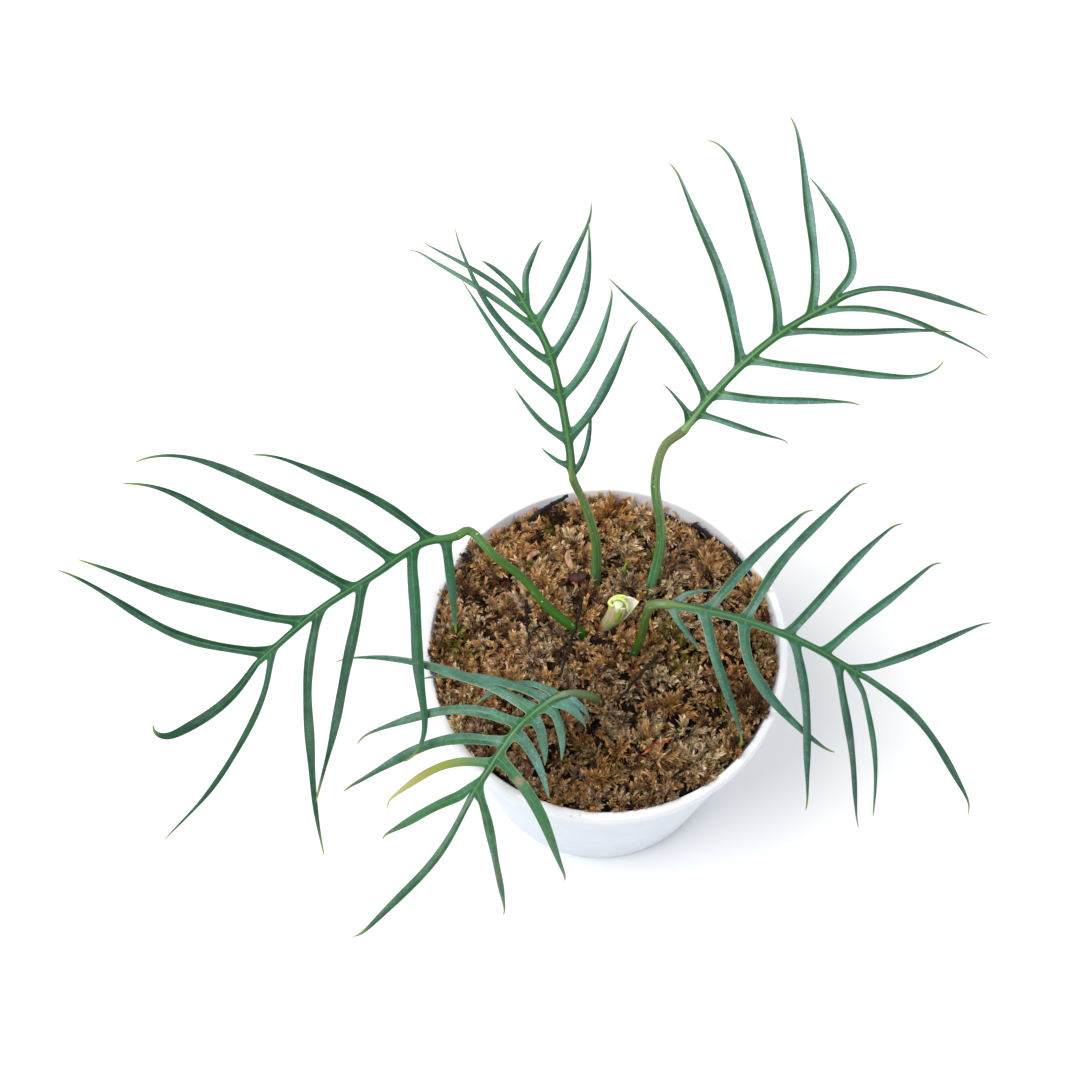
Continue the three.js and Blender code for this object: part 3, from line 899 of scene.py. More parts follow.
# %% Pressing and joining
def hold_in_pot(mesh, gap=0.35, over_lip=0.9):
    """Moss that would go through the pot's wall is pressed against it; above the lip it may lean out."""
    places = places_of(mesh)
    out = np.hypot(places[:, 0], places[:, 1])
    limit = pot_inside(np.minimum(places[:, 2], POT["height"])) - gap
    limit += np.where(places[:, 2] > POT["height"] + 0.3, over_lip, 0)
    places[:, :2] *= np.minimum(1, limit / np.maximum(out, 1e-6))[:, None]
    mesh.vertices.foreach_set("co", (places * MM).astype(np.float32).ravel())
    mesh.update()


def joined(first, *others):
    """Joins pieces into the first one."""
    if others:
        pieces = [first, *others]
        with bpy.context.temp_override(active_object=first, object=first, selected_objects=pieces,
                                       selected_editable_objects=pieces):
            bpy.ops.object.join()
    return first

# %% Growing the moss
COVER = [  # ending of the name, dome, spacing in mm, seed, share away from the wall, size, tip in radians
    ("", dome, 6.0, 4, 1.0, 1.3, 0.7),
    ("_sprigs", sprig_dome, 2.25, 17, 1.0, 0.95, 1.3),
    ("_fringe", sprig_dome, 2.5, 31, 0.0, 0.95, 0.9),
]


def grow_moss(name, low, high, *shades):
    """One colour of moss: the heads, sprigs and fringe whose draw lies between low and high."""
    finish = moss_finish(name, *shades)
    grown = []
    for ending, head, spacing, seed, inside, size, tip in COVER:
        grown.append(grow(
            name + ending, top, heads_tree, Branches=branches, Dome=head, Spacing=spacing * MM, Seed=seed,
            Inside=inside, Lowest=float(low), Highest=float(high), Size=size, Tip=(tip, tip, FULL_TURN),
            Finish=finish))
    moss = joined(*grown)
    hold_in_pot(moss.data)
    lay_moss_map(moss.data)
    keep(moss, "sphagnum")


for name, kind in MOSS_KINDS.items():
    grow_moss(name, *kind)
for spare in [top, dome, sprig_dome, *branches.objects]:
    bpy.data.objects.remove(spare)

# %% [markdown]
# ## How a leaf grows
# One smooth line runs up the petiole and on along the rib. Leaflets leave the rib at their places,
# turn by their bend and hook, and rise and droop out of the blade's plane. The same rule gave the part
# its solids; here it is followed in finer steps, and each step also keeps the blade's own directions.

# %% The stalk's line
STEPS_PER_KNOT = 60


def smooth_line(knots, per=STEPS_PER_KNOT):
    """A centripetal Catmull-Rom line through the knots."""
    knots = np.asarray(knots, float)
    padded = np.vstack([2 * knots[0] - knots[1], knots, 2 * knots[-1] - knots[-2]])
    line = []
    for p0, p1, p2, p3 in zip(padded, padded[1:], padded[2:], padded[3:]):
        d0, d1, d2 = (np.sum((b - a) ** 2) ** 0.25 for a, b in ((p0, p1), (p1, p2), (p2, p3)))
        m1 = ((p1 - p0) / d0 - (p2 - p0) / (d0 + d1) + (p2 - p1) / d1) * d1
        m2 = ((p2 - p1) / d1 - (p3 - p1) / (d1 + d2) + (p3 - p2) / d2) * d1
        square, cube = 3 * p2 - 3 * p1 - 2 * m1 - m2, 2 * p1 - 2 * p2 + m1 + m2
        t = np.linspace(0, 1, per, endpoint=False)[:, None]
        line.append(p1 + m1 * t + square * t**2 + cube * t**3)
    return np.vstack(line + [knots[-1:]])


def run_of(line):
    """How far along a line each of its points lies."""
    return np.concatenate([[0], np.cumsum(np.linalg.norm(np.diff(line, axis=0), axis=1))])


def points_at(line, run, wanted):
    """Points of a line at the wanted distances along it."""
    return np.stack([np.interp(wanted, run, line[:, i]) for i in range(3)], -1)


def unit(ways):
    return ways / np.linalg.norm(ways, axis=-1)[..., None]


def along_line(line, run, wanted):
    """Points and headings along a line, which goes on straight past its ends."""
    wanted = np.atleast_1d(np.asarray(wanted, float))
    inside = np.clip(wanted, 0, run[-1])
    ways = unit(points_at(np.gradient(line, axis=0), run, inside))
    return points_at(line, run, inside) + ways * (wanted - inside)[:, None], ways


print("the tall petiole is", round(run_of(smooth_line(LEAVES["tall"]["petiole"]))[-1]), "mm long")

# %% From the stalk to the rib
def stalk_of(leaf):
    line = smooth_line(leaf["petiole"] + leaf["rib"])
    run = run_of(line)
    return dict(line=line, run=run, rib_start=run[STEPS_PER_KNOT * len(leaf["petiole"])])


def on_rib(stalk, leaf, place):
    """Points on the rib, with the directions along it, across it and out of the blade's face."""
    points, ways = along_line(stalk["line"], stalk["run"], stalk["rib_start"] + np.asarray(place, float))
    face = np.asarray(leaf["face"], float)
    up = unit(face - ways * (ways @ face)[:, None])
    return points, ways, np.cross(ways, up), up


STALKS = {name: stalk_of(leaf) for name, leaf in LEAVES.items()}
print("rib starts, mm up the stalk:", {name: round(float(s["rib_start"])) for name, s in STALKS.items()})

# %% A leaflet's line
HOOK_FROM, CURL_FROM = 0.7, 0.9  # shares of its length


def leaflet_ways(root, comb, row, share):
    """At each share of a leaflet's length: the way it heads, across it towards the rib's end, and up."""
    _, along, across, up = (v[0] for v in root)
    spread, bend, hook, curl = *row[2:5], sum(row[6:])
    late, last = (np.maximum(0, (share - start) / (1 - start)) for start in (HOOK_FROM, CURL_FROM))
    turn = np.radians(spread + bend * share * (2 - share) + hook * late**2 + curl * last)[:, None]
    pitch = np.radians(comb["rise"] - comb["droop"] * share)[:, None]
    flat = np.cos(turn) * along + comb["side"] * np.sin(turn) * across
    heads = np.cos(pitch) * flat + np.sin(pitch) * up
    sideways = np.sin(turn) * along - comb["side"] * np.cos(turn) * across
    return heads, sideways, np.cos(pitch) * up - np.sin(pitch) * flat


def leaflet_line(root, comb, row, steps=60):
    """The vein of a leaflet, walked step by step from its root on the rib."""
    heads, _, _ = leaflet_ways(root, comb, row, (np.arange(steps) + 0.5) / steps)
    return np.vstack([root[0], root[0] + np.cumsum(heads * row[1] / steps, axis=0)])


def leaf_place(name, side, place, share):
    """A point on the vein of a leaflet, which is named by its side and its place on the rib."""
    leaf, stalk = LEAVES[name], STALKS[name]
    pairs = [(comb, row) for comb in leaf["combs"] if comb["side"] == side for row in comb["rows"]]
    comb, row = next(pair for pair in pairs if pair[1][0] == place)
    line = leaflet_line(on_rib(stalk, leaf, place), comb, row)
    return line[int(share * (len(line) - 1))]


print("the left leaf's first leaflet ends at", leaf_place("left", 1, 8, 1.0).round(1))

# %% [markdown]
# ## Stalks
# A petiole is a long round stalk with fine ridges and a shallow groove on its upper side. It follows a
# path, so Geometry Nodes sweep it: the line becomes a curve that knows its own upper side, a ridged
# circle is carried along it, and the stalk's thickness is read from each point of the line.

# %% The tree that sweeps a stalk
def ridged_ring(tree, given):
    """A circle with ridges and a groove, which keeps its plain place and its turn for the finish."""
    circle = add(tree, "GeometryNodeCurvePrimitiveCircle", {"Resolution": given["Sides"], "Radius": 1.0})
    place = add(tree, "GeometryNodeInputPosition").outputs[0]
    parts = add(tree, "ShaderNodeSeparateXYZ", {"Vector": place}).outputs
    angle = maths(tree, parts["Y"], parts["X"], "ARCTAN2")
    waves = maths(tree, maths(tree, angle, given["Ridges"]), operation="COSINE")
    swell = maths(tree, 1.0, maths(tree, waves, given["Ridge_depth"]), "ADD")
    dip = maths(tree, ramp(tree, parts["X"], 0.55, 1.0), given["Groove"])
    swell = maths(tree, swell, dip, "SUBTRACT")
    section = add(tree, "ShaderNodeVectorMath", {0: place, "Scale": swell}, operation="SCALE").outputs[0]
    ring = add(tree, "GeometryNodeSetPosition", {"Geometry": circle.outputs[0], "Position": section})
    ring = keep_value(tree, ring.outputs[0], "section", place, data_type="FLOAT_VECTOR")
    turn = add(tree, "GeometryNodeSplineParameter").outputs["Factor"]
    return keep_value(tree, ring, "around", turn)


def sweep_tree():
    tree, given, out = growth_tree(
        "stalk_sweep", Sides="Int", Ridges="Float", Ridge_depth="Float", Groove="Float", Finish="Material")
    path = add(tree, "GeometryNodeMeshToCurve", {"Mesh": given["Geometry"]})
    upper = kept_value(tree, "upper", "FLOAT_VECTOR")
    path = add(tree, "GeometryNodeSetCurveNormal", {"Curve": path.outputs[0], "Normal": upper}, mode="FREE")
    swept = add(tree, "GeometryNodeCurveToMesh", {
        "Curve": path.outputs[0], "Profile Curve": ridged_ring(tree, given),
        "Scale": kept_value(tree, "thick"), "Fill Caps": True})
    smooth = add(tree, "GeometryNodeSetShadeSmooth", {"Geometry": swept.outputs[0]})
    real = add(tree, "GeometryNodeRealizeInstances", {"Geometry": smooth.outputs[0]})
    done = add(tree, "GeometryNodeSetMaterial", {"Geometry": real.outputs[0], "Material": given["Finish"]})
    tree.links.new(done.outputs[0], out["Geometry"])
    return tree


stalk_tree = sweep_tree()
print("stalk tree has", len(stalk_tree.nodes), "nodes")

# %% Sweeping a line
def sweep(name, line, upper, thick, finish, sides=14, ridges=7.0, ridge_depth=0.035, groove=0.0):
    """A stalk along a line in millimetres, thick as given at each of its points."""
    run = run_of(line)
    edges = [(i, i + 1) for i in range(len(line) - 1)]
    seedling = mesh_piece(name + "_line", line, [], edges, upper=upper, thick=np.asarray(thick) * MM,
                          along=run / run[-1], reach=run * MM)
    stalk = grow(name, seedling, stalk_tree, Sides=sides, Ridges=float(ridges), Ridge_depth=ridge_depth,
                 Groove=groove, Finish=finish)
    bpy.data.objects.remove(seedling)
    return stalk


def stalk_map(mesh, low=0.0, high=1.0):
    """A stalk's spots on the map: along it to the right, round it upward, with the seam closed."""
    corners = corner_points(mesh)
    right, upward = read_trait(mesh, "along")[corners], read_trait(mesh, "around")[corners]
    step = 1 / len(np.unique(np.round(upward, 4)))
    for face in mesh.polygons:
        own = slice(face.loop_start, face.loop_start + face.loop_total)
        if face.loop_total == 4 and np.ptp(upward[own]) > 0.5:
            upward[own] = np.where(upward[own] < 0.5, upward[own] + 1, upward[own])
    upward = upward / (1 + step)
    return np.stack([inset(right, 0.01), low + (high - low) * inset(upward, 0.02)], 1)

# %% [markdown]
# The stalks differ: the left one is a fresh bright green, the back and tall ones are streaked with
# darker lines, the right one goes from dark green at the moss to olive at its bend, and the front one
# is olive. Pale flecks and a darker furrow along the upper side show on all of them. Streaks run along
# the stalk, so they are drawn in its own unrolled coordinates: place round it, and distance along it.

# %% Stalk skin
def stalk_skin(name, foot, middle, top_colour, streak, streaks):
    finish, tree, skin = new_finish(name, 0.42)
    along = trait(tree, "along")
    section = trait(tree, "section", "Vector")
    reach = trait(tree, "reach")
    unrolled = add(tree, "ShaderNodeCombineXYZ", {"Z": maths(tree, reach, 90.0)}).outputs[0]
    unrolled = add(tree, "ShaderNodeVectorMath",
                   {0: stretched(tree, section, (4.5, 4.5, 0)), 1: unrolled}, operation="ADD").outputs[0]
    base = mottled(tree, along, 0.15, 0.6, foot, middle)
    base = washed(tree, base, along, 0.7, 1.0, top_colour)
    base = washed(tree, base, grain(tree, unrolled, 1.0, 4, 0.65), 0.45, 0.64, streak, streaks)
    sides = add(tree, "ShaderNodeSeparateXYZ", {"Vector": section}).outputs
    offside = maths(tree, maths(tree, sides["Y"], 0.12, "ADD"), operation="ABSOLUTE")
    furrow = maths(tree, ramp(tree, offside, 0.06, 0.26, 1.0, 0.0), ramp(tree, sides["X"], 0.0, 0.3))
    furrow = maths(tree, furrow, ramp(tree, along, 0.6, 0.95, 0.9 * streaks, 0.2 * streaks))
    base = blend(tree, furrow, base, colour(*streak))
    pale = grain(tree, stretched(tree, unrolled, (1.6, 1.6, 0.8)), 1.0, 2)
    base = washed(tree, base, pale, 0.56, 0.74, (140, 170, 104), 0.35)
    flecks = grain(tree, object_place(tree), 900, 1)
    paint(tree, skin, washed(tree, base, flecks, 0.72, 0.75, (214, 206, 184), 0.8))
    relief(tree, skin, grain(tree, unrolled, 2.0, 3), 0.12, 0.5)
    return finish


STALK_SKINS = {  # colours at the foot, middle and top, then the streaks' colour and strength
    "left": ((40, 100, 0), (54, 100, 14), (84, 126, 56), (34, 84, 8), 0.5),
    "back": ((92, 138, 82), (104, 138, 70), (98, 112, 58), (44, 92, 42), 0.75),
    "tall": ((88, 148, 96), (108, 144, 78), (110, 116, 70), (34, 88, 44), 0.75),
    "right": ((34, 88, 0), (66, 102, 22), (98, 124, 68), (32, 70, 10), 0.5),
    "front": ((98, 118, 66), (118, 142, 94), (120, 148, 112), (84, 110, 70), 0.6),
}
print("stalk skins:", ", ".join(STALK_SKINS))

# %% The five petioles
def carried(ways, last):
    """Carries a direction down a line from its last point, turning no more than the line does."""
    upper = [np.asarray(last, float)]
    for way in ways[-2::-1]:
        upper.append(unit(upper[-1] - way * (upper[-1] @ way)))
    return np.array(upper[::-1])


def grow_petiole(name, step=1.3):
    leaf, stalk = LEAVES[name], STALKS[name]
    end = stalk["rib_start"]
    run = np.linspace(0, end, int(end / step))
    line, ways = along_line(stalk["line"], stalk["run"], run)
    upper = carried(ways, on_rib(stalk, leaf, 0)[3][0])
    foot, tip = leaf["thick"]
    thick = np.interp(run / end, [0, 0.25, 0.85, 1], [foot + 0.1, foot, tip, tip + 0.05])
    thick *= 1 + 0.025 * np.sin(run / 5.5 + len(name))
    petiole = sweep("petiole_skin_" + name, line, upper, thick,
                    stalk_skin("stalk_" + name, *STALK_SKINS[name]), sides=16, groove=0.12)
    lay_map(petiole.data, stalk_map(petiole.data))
    keep(petiole, "green_stalk", "petiole_" + name)


for name in LEAVES:
    grow_petiole(name)

# %% [markdown]
# ## Leaf blades
# A blade is cut nearly to its rib: a narrow wing of blade runs along the rib, and each leaflet grows
# out of the wing's edge, with a wide round corner below it and a tight one above. A sweep would leave
# sticks pushed into a stem, so the blade is woven as one sheet in code: the points along the wing's
# edge are the first row of the leaflet, and a Subdivision Surface rounds the corners between them.
# Each point keeps a few traits that the finish reads later: how far along the leaflet it lies, whether
# it is on the vein, on the edge or on the wing, and the leaflet's own tint.

# %% Blade sizes
COLUMNS = np.array([-1, -0.7, -0.35, 0, 0.35, 0.7, 1])
MIDDLE = len(COLUMNS) // 2
BLADE = dict(wing_root=1.42, wing_end=1.1, wing_rise=-0.3, thick=0.5, vein=0.3,
             low_flare=1.3, low_reach=2.0, high_flare=0.5, high_reach=0.8)
print("a leaflet is", len(COLUMNS), "points wide and", BLADE["thick"], "mm thick")


def width_share(share, end_leaf):
    """A leaflet keeps its width for two fifths of its length and then runs out into a long fine point.
    The one at the rib's end is broadest half way."""
    if end_leaf:
        return np.interp(share, [0, 0.1, 0.3, 0.5, 0.65, 0.8, 0.92, 1],
                         [0.8, 0.8, 0.92, 1, 0.95, 0.74, 0.42, 0.06])
    return np.interp(share, [0, 0.1, 0.25, 0.42, 0.55, 0.68, 0.8, 0.92, 0.98, 1],
                     [0.84, 0.93, 1, 1, 0.93, 0.74, 0.5, 0.27, 0.17, 0.05])


def soft_step(x):
    x = np.clip(x, 0, 1)
    return x * x * (3 - 2 * x)

# %% [markdown]
# The sheet that becomes a blade is gathered in a small class: rows of points go in, each with its traits,
# and faces join one row to the next. Each face also notes the strip of the UV map that it belongs to, one
# strip for a leaflet and one for each wing, so that later the map needs no unwrapping.

# %% A sheet that grows row by row
class Sheet:
    """Points with traits, and faces with the strip and the places that they take on the map."""

    TRAITS = ("along", "vein", "edge", "wing", "tint", "bloom", "yellow", "thick")

    def __init__(self):
        self.points, self.ups, self.traits = [], [], []
        self.faces, self.spots, self.strips = [], [], []

    def row(self, points, ups, **traits):
        """Adds a row of points. A trait may be one value for the whole row."""
        first = len(self.points)
        count = len(points)
        self.points += list(points)
        self.ups += list(np.broadcast_to(ups, (count, 3)))
        columns = [np.broadcast_to(traits[name], count) for name in self.TRAITS]
        self.traits += list(np.stack(columns, 1))
        return list(range(first, first + count))

    def join(self, row, after, x, x_after, y, strip):
        """Faces between two rows of points; x is how far along each row lies, y is across it."""
        for i in range(len(row) - 1):
            self.faces.append((row[i], row[i + 1], after[i + 1], after[i]))
            self.spots.append(((x, y[i]), (x, y[i + 1]), (x_after, y[i + 1]), (x_after, y[i])))
            self.strips.append(strip)


print("traits of a blade's points:", ", ".join(Sheet.TRAITS))

# %% The form of one leaflet
def row_places(start, length):
    """How far along a leaflet its rows lie: close at the root and at the tip."""
    room = min(1.0, (length - start) / 15)
    near = start + room * np.array([0.8, 1.8, 3.2, 5.0])
    far = length - room * np.array([4.6, 2.5, 1.1, 0.0])
    count = max(1, int((far[0] - near[-1]) / 3.0))
    return np.concatenate([near, np.linspace(near[-1], far[0], count + 1)[1:-1], far])


def leaflet_form(root, comb, row, socket, chance, end_leaf):
    """A leaflet's rows: their middles, the ways across and up, and half their width, a little uneven."""
    length, full = row[1], row[5]
    line = leaflet_line(root, comb, row)
    run = np.linspace(0, length, len(line))
    places = row_places(socket["start"], length)
    share, gap = places / length, places - socket["start"]
    _, across, up = leaflet_ways(root, comb, row, share)
    across = -across if end_leaf else across
    shift = socket["edge_middle"] - points_at(line, run, socket["start"])
    middles = points_at(line, run, places) + (1 - soft_step(gap / 5))[:, None] * shift
    twist = np.radians(chance.uniform(-14, 14) * share**1.5 + chance.uniform(-5, 5))[:, None]
    across, up = np.cos(twist) * across + np.sin(twist) * up, np.cos(twist) * up - np.sin(twist) * across
    phase, bow = chance.uniform(0, FULL_TURN), chance.uniform(0.75, 1.25)
    half = 0.5 * full * width_share(share, end_leaf) * (1 + 0.06 * np.sin(places / 3.7 + 2 * phase))
    middles = middles + across * (0.3 * soft_step(gap / 10) * np.sin(places / 7 + phase))[:, None]
    if end_leaf:
        half = half + (socket["half"] - half) * np.exp(-gap / 4)
    return zip(places, share, gap, middles, across, up, half), phase, bow


print("a leaflet 60 mm long has", len(row_places(2, 60)), "rows")

# %% Weaving a leaflet onto the wing
def flare(gap):
    """How much wider a leaflet gets near its root: far out on its lower side, briefly on its upper."""
    low = BLADE["low_flare"] * math.exp(-gap / BLADE["low_reach"])
    high = BLADE["high_flare"] * math.exp(-gap / BLADE["high_reach"])
    return COLUMNS**2 * np.where(COLUMNS < 0, low, high)


def add_leaflet(sheet, leaf, root, comb, row, socket, strip, chance, end_leaf=False):
    """Weaves a leaflet onto its socket's first row, on the wing's edge or across the rib's end."""
    rows, phase, bow = leaflet_form(root, comb, row, socket, chance, end_leaf)
    tint = chance.uniform(0, 1)
    fades = leaf.get("yellow") == row[:2]
    sides = np.abs(COLUMNS)
    # The bloom on each half is real bloom with painted sheen: heavier on the half that faces the light.
    bloom = np.interp(np.sign(COLUMNS), [-1, 1], comb["bloom"])
    before, place_before = socket["first_row"], socket["start"]
    for place, share, gap, middle, across, up, half in rows:
        reach = half * sides
        if not end_leaf:
            settled = soft_step(gap / 3.2)
            across = (1 - settled) * socket["skew"] + settled * across
            reach = reach + flare(gap)
        lift = -comb["fold"] * bow * half * sides * soft_step(gap / 6) * (1 - 0.4 * share)
        lift = lift + 0.12 * half * np.sin(place / 4.2 + phase) * COLUMNS
        points = middle + (np.sign(COLUMNS) * reach)[:, None] * across + lift[:, None] * up
        vein = (COLUMNS == 0) * (1 - share) ** 0.4
        thick = BLADE["thick"] * (1 - 0.5 * COLUMNS**2) * (1 - 0.55 * share**2)
        thick = thick + BLADE["vein"] * vein * (1 - 0.7 * share)
        yellow = soft_step((share - 0.02) / 0.4) if fades else 0.0
        new = sheet.row(points, up, along=share, vein=vein, edge=(sides == 1) * 1.0, wing=0.0,
                        tint=tint, bloom=bloom, yellow=yellow, thick=thick)
        sheet.join(before, new, place_before, place, COLUMNS, strip)
        before, place_before = new, place


print("a leaflet widens at its root by", flare(0.0)[[0, -1]], "mm, low and high")

# %% [markdown]
# A leaflet takes up a span of the wing's edge: its own width, wider where it leaves the rib at a slant,
# and a corner on either side. Spans of neighbours may not overlap, so they are cut back where they would.
# The wing then gets a row of points at each column of each leaflet, and a few rows between leaflets.

# %% Where leaflets sit on the wing
LEAST_SLANT = 0.34
BACKWARD = 100  # past this angle to the rib a leaflet leans back, and its two corners swap


def wing_half(place, end):
    """How wide the wing is on one side of the rib. It narrows at the rib's start."""
    base = BLADE["wing_root"] + (BLADE["wing_end"] - BLADE["wing_root"]) * np.asarray(place) / end
    return base * np.interp(place, [0, 4], [0.8, 1.0])


def root_span(comb, row, end):
    """Where a leaflet sits on the wing's edge, from low to high, and how far along it its rows start."""
    place, angle = row[0], math.radians(row[2])
    slant = max(LEAST_SLANT, math.sin(angle))
    start = float(wing_half(place, end)) / slant
    half = 0.42 * row[5]
    low, high = (half + BLADE["low_flare"]) / slant, (half + BLADE["high_flare"]) / slant
    if row[2] > BACKWARD:
        low, high = high, low
    middle = place + start * math.cos(angle)
    middle = min(max(middle, low * 0.6 + 0.3), end - high * 0.6 - 0.4)
    return dict(comb=comb, row=row, middle=middle, low=max(0.2, middle - low),
                high=min(end - 0.3, middle + high), start=start, slant=slant)


print("half way along a rib the wing is", round(float(wing_half(35, 70)), 2), "mm wide on either side")

# %% Rows along the wing
ROOT_MARKS = ["edge", "root", "root", "vein", "root", "root", "edge"]
STATION_STEP = 2.2


def root_spans(leaf, side, end):
    """The spans of one side's leaflets in order, cut back where two would overlap."""
    spans = [root_span(comb, row, end) for comb in leaf["combs"] if comb["side"] == side
             for row in comb["rows"]]
    spans.sort(key=lambda span: span["middle"])
    for span, after in zip(spans, spans[1:]):
        if span["high"] > after["low"] - 0.5:
            above, below = span["high"] - span["middle"], after["middle"] - after["low"]
            cut = span["middle"] + above / (above + below) * (after["middle"] - span["middle"])
            span["high"], after["low"] = min(span["high"], cut - 0.2), max(after["low"], cut + 0.2)
    return spans


def wing_stations(spans, end):
    """Places along the rib where the wing has a row, and what lies there on its edge."""
    stations, marks = [0.0], ["edge"]
    for span in spans:
        count = max(2, int((span["low"] - stations[-1]) / STATION_STEP) + 1)
        between = np.linspace(stations[-1], span["low"], count)[1:-1]
        below, above = span["middle"] - span["low"], span["high"] - span["middle"]
        stations += [*between, *(span["middle"] + COLUMNS * np.where(COLUMNS < 0, below, above))]
        marks += ["edge"] * len(between) + ROOT_MARKS
    count = max(2, int((end - stations[-1]) / STATION_STEP) + 2)
    stations += list(np.linspace(stations[-1], end, count)[1:])
    marks += ["edge"] * (count - 1)
    return stations, marks

# %% The wing along one side of the rib
WING_COLUMNS = np.array([0, 0.35, 0.7, 1])


def add_wing(sheet, leaf, stalk, side, end, strip, axis_end=None):
    """Weaves the wing of one side. Returns its leaflets' spans and its row at the rib's end."""
    spans = root_spans(leaf, side, end)
    stations, marks = wing_stations(spans, end)
    points, _, across, up = on_rib(stalk, leaf, stations)
    half = wing_half(stations, end)
    rows = []
    for i, mark in enumerate(marks):
        spread = WING_COLUMNS[:, None] * half[i] * (side * across[i] + BLADE["wing_rise"] * up[i])
        edge = (WING_COLUMNS == 1) * (mark == "edge") * 1.0
        row = sheet.row(points[i] + spread, up[i], along=0.0, vein=float(mark == "vein"), edge=edge,
                        wing=1.0, tint=0.5, bloom=0.1, yellow=0.0, thick=BLADE["thick"] * 1.1)
        if axis_end is not None and i == len(marks) - 1:
            row[0] = axis_end
        if rows:
            sheet.join(rows[-1], row, stations[i - 1], stations[i], 2 * WING_COLUMNS - 1, strip)
        rows.append(row)
    for span in spans:
        first = stations.index(span["middle"]) - MIDDLE
        span["first_row"] = [row[-1] for row in rows[first:first + len(COLUMNS)]]
        span["edge_middle"] = sheet.points[span["first_row"][MIDDLE]]
    return spans, rows[-1]

# %% [markdown]
# The sheet has no thickness yet. A Solidify modifier would give it one, but not one that swells at the
# vein and thins towards the tip, and it would lose the map. So the lower face is the same sheet pushed
# down by each point's own thickness and turned over, and a rim closes the two along every open edge.

# %% Both faces of the blade
RIM_PLACE, RIM_WIDTH = 1.04, 1.2
MAP_EDGE = 1.27


def open_edges(faces):
    """Each edge that only one face has: its two points, that face, and the corner where it starts."""
    edges = {}
    for number, face in enumerate(faces.tolist()):
        for corner, edge in enumerate(zip(face, face[1:] + face[:1])):
            edges[edge] = number, corner
    return [(a, b, number, corner) for (a, b), (number, corner) in edges.items() if (b, a) not in edges]


def blade_mesh(name, sheet, strips, longest):
    """Closes a sheet into a thin body: upper face, lower face and rim, each with its place on the map."""
    points, ups, traits = np.array(sheet.points), np.array(sheet.ups), np.array(sheet.traits)
    faces, spots, strip = np.array(sheet.faces), np.array(sheet.spots), np.array(sheet.strips)
    lean = np.cross(points[faces[:, 2]] - points[faces[:, 0]], points[faces[:, 3]] - points[faces[:, 1]])
    over = np.einsum("ij,ij->i", lean, ups[faces].mean(1)) < 0
    faces[over], spots[over] = faces[over][:, ::-1], spots[over][:, ::-1]
    count = len(points)
    rim, rim_spots, rim_strip = [], [], []
    for a, b, number, corner in open_edges(faces):
        rim.append((b, a, a + count, b + count))
        (xa, ya), (xb, yb) = spots[number][corner], spots[number][(corner + 1) % 4]
        near = RIM_PLACE if ya + yb > 0 else -RIM_PLACE
        far = near * RIM_WIDTH
        rim_spots.append(((xb, near), (xa, near), (xa, far), (xb, far)))
        rim_strip.append(strip[number])
    all_spots = np.vstack([spots, spots[:, ::-1], rim_spots]).astype(float)
    rows = np.concatenate([strip, strip + strips, rim_strip])[:, None]
    total = 2 * strips + 1
    right = inset(all_spots[:, :, 0] / longest, 0.01)
    upward = (rows + inset((all_spots[:, :, 1] + MAP_EDGE) / (2 * MAP_EDGE), 0.06)) / total
    columns = dict(zip(Sheet.TRAITS, np.vstack([traits, traits]).T))
    thick = columns.pop("thick")[:count, None]
    blade = mesh_piece(name, np.vstack([points, points - ups * thick]),
                       np.vstack([faces, faces[:, ::-1] + count, rim]).tolist(), **columns)
    lay_map(blade.data, np.stack([right, upward], -1).reshape(-1, 2))
    under = np.repeat([0, 1, 0], [len(faces), len(faces), len(rim)]).astype(np.int32)
    blade.data.polygons.foreach_set("material_index", under)
    blade.data.shade_smooth()
    return blade, total

# %% Subdividing
def subdivided(piece, levels=1):
    """Smooths a mesh with a Subdivision Surface and keeps the result as its plain mesh."""
    modifier = piece.modifiers.new("smooth", "SUBSURF")
    modifier.levels = modifier.render_levels = levels
    rough = piece.data
    ready = piece.evaluated_get(bpy.context.evaluated_depsgraph_get())
    piece.data = bpy.data.meshes.new_from_object(ready)
    piece.modifiers.remove(modifier)
    bpy.data.meshes.remove(rough)
    return piece

# %% [markdown]
# ## Leaf skin
# The upper side is a dark blue-green with a satin sheen, weaker on the left leaf. The vein shows as a
# fine paler line, the edge as a thin pale margin that browns towards the tip, and each leaflet ends in
# yellow-green. A bluish bloom lies in specks over the blade, thickest on the front leaf, and heavier on
# one half of each leaflet, where it is also painted sheen for the half that faces the light. One leaflet
# of the front leaf has faded to a dull yellow. The traits that the sheet kept say where each of these
# falls. The lower side is paler and duller, with raised veins, and the rib is a lighter green.

